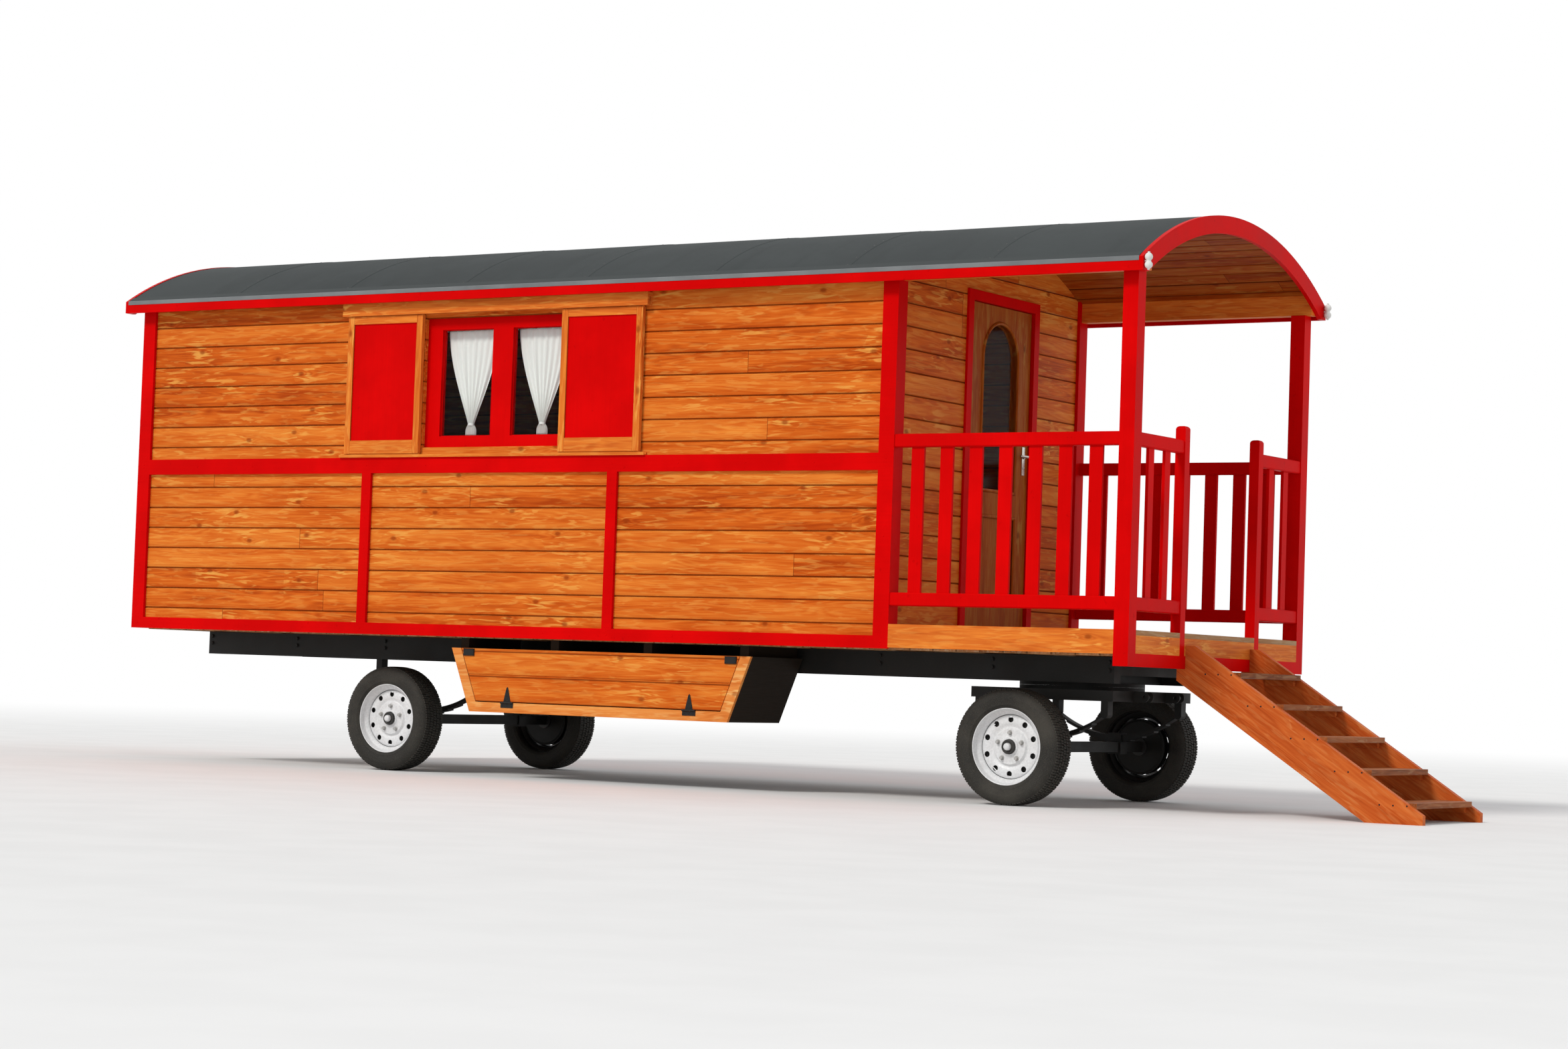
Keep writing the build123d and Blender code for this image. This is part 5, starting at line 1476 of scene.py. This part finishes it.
class VARDO_OT_cleats(bpy.types.Operator):
    """Make the battens that carry the stair treads inside the stringers"""

    bl_idname = "vardo.cleats"
    bl_label = "Stair cleats"

    def execute(self, context):
        bm = bmesh.new()
        for nose, top in tread_noses():
            under = top - TREAD_THICK
            for way in (-1, 1):
                edge = way * TREAD_HIGH.y
                inner, outer = sorted((edge, edge - way * CLEAT_SIZE))
                low, high = (nose - CLEAT_BACK, inner, under - CLEAT_SIZE), (nose - CLEAT_FRONT, outer, under)
                block(bm, low, high, 0.003)
        piece_of(bm, "stair_cleats", 30, "wagon", "stringer_wood")
        return {"FINISHED"}


LAMPS = (
    # Name, where it comes from, share of the main light, angle in degrees and colour
    ("key", (-0.30, -1.0, 0.95), 1.0, 14.0, (1.0, 0.975, 0.94)),
    ("fill", (0.9, 0.7, 0.6), 0.22, 60.0, (0.95, 0.97, 1.0)),
)


class VARDO_OT_stage(bpy.types.Operator):
    """Make the pale floor, the soft light and the camera"""

    bl_idname = "vardo.stage"
    bl_label = "Stage"

    def execute(self, context):
        props = context.scene.vardo_stage
        scene = context.scene
        scene.view_settings.view_transform = "Standard"
        self.floor(props)
        self.world(scene, props)
        self.lamps(props)
        self.camera(scene, props)
        return {"FINISHED"}

    def floor(self, props):
        """A pale round floor that fades to white far from the wagon."""
        bm = bmesh.new()
        bmesh.ops.create_circle(bm, cap_ends=True, segments=96, radius=props.floor_radius)
        mesh = mesh_of(bm, "floor")
        if mesh.polygons[0].normal.z < 0:
            mesh.flip_normals()
        floor = put("floor", mesh)
        f = Finish("pale_floor")
        speck = f.noise(f.place, scale=2.0, detail=4.0)
        f.done(f.toward((0.78, 0.78, 0.775), (0.81, 0.81, 0.805), speck, 0.3, 0.7), 0.85)
        glow = f.add("Emission", {"Color": (1, 1, 1, 1), "Strength": 1.0})
        length = f.add("VectorMath", {0: f.place}, operation="LENGTH").outputs["Value"]
        f.show(f.times(f.band(length, 8.0, 26.0), f.seen()), f.surface, glow)
        mesh.materials.append(f.material)

    def world(self, scene, props):
        """Even light, and white where the camera sees the sky."""
        world = scene.world or bpy.data.worlds.new("sky")
        scene.world = world
        world.use_nodes = True
        world.node_tree.nodes.clear()
        w = Nodes(world.node_tree)
        w.add("OutputWorld")
        plain = w.add("Background", {"Color": (0.96, 0.98, 1.0, 1), "Strength": props.sky_light})
        white = w.add("Background", {"Color": (1, 1, 1, 1), "Strength": 1.0})
        w.show(w.seen(), plain, white)

    def lamps(self, props):
        for name, way, share, angle, colour in LAMPS:
            lamp = bpy.data.lights.new(name, "SUN")
            lamp.energy, lamp.angle, lamp.color = props.key_light * share, math.radians(angle), colour
            put(name, lamp).rotation_euler = Vector(way).to_track_quat("Z", "Y").to_euler()

    def camera(self, scene, props):
        view = bpy.data.cameras.new("camera")
        view.lens, view.sensor_width, view.clip_end = props.lens, 36.0, 300.0
        holder = put("camera", view)
        turn = Matrix.Rotation(props.camera_yaw, 4, "Z")
        turn @= Matrix.Rotation(math.pi / 2 + props.camera_pitch, 4, "X")
        turn @= Matrix.Rotation(props.camera_roll, 4, "Z")
        holder.matrix_world = Matrix.Translation(props.camera_place) @ turn
        scene.camera = holder


OPERATORS = (
    VARDO_OT_stage,
    VARDO_OT_finishes,
    VARDO_OT_tyres,
    VARDO_OT_wheels,
    VARDO_OT_roof_boards,
    VARDO_OT_roofing,
    VARDO_OT_finials,
    VARDO_OT_curtains,
    VARDO_OT_beading,
    VARDO_OT_door_lever,
    VARDO_OT_cleats,
    VARDO_OT_fasteners,
)


class VARDO_PT_panel(bpy.types.Panel):
    """Buttons for the wagon's pieces"""

    bl_idname = "VARDO_PT_panel"
    bl_label = "Vardo wagon"
    bl_space_type = "VIEW_3D"
    bl_region_type = "UI"
    bl_category = "Wagon"

    def draw(self, context):
        for operator in OPERATORS:
            self.layout.operator(operator.bl_idname)


GROUPS = {
    "vardo_wheels": VARDO_PG_wheels,
    "vardo_cover": VARDO_PG_cover,
    "vardo_curtains": VARDO_PG_curtains,
    "vardo_colours": VARDO_PG_colours,
    "vardo_stage": VARDO_PG_stage,
}


def register():
    for group in GROUPS.values():
        bpy.utils.register_class(group)
    for name, group in GROUPS.items():
        setattr(bpy.types.Scene, name, PointerProperty(type=group))
    for kind in (*OPERATORS, VARDO_PT_panel):
        bpy.utils.register_class(kind)


def unregister():
    for kind in reversed((*OPERATORS, VARDO_PT_panel)):
        bpy.utils.unregister_class(kind)
    for name, group in GROUPS.items():
        delattr(bpy.types.Scene, name)
        bpy.utils.unregister_class(group)


def main():
    register()
    for operator in OPERATORS:
        group, name = operator.bl_idname.split(".")
        getattr(getattr(bpy.ops, group), name)()


if __name__ == "__main__":
    main()
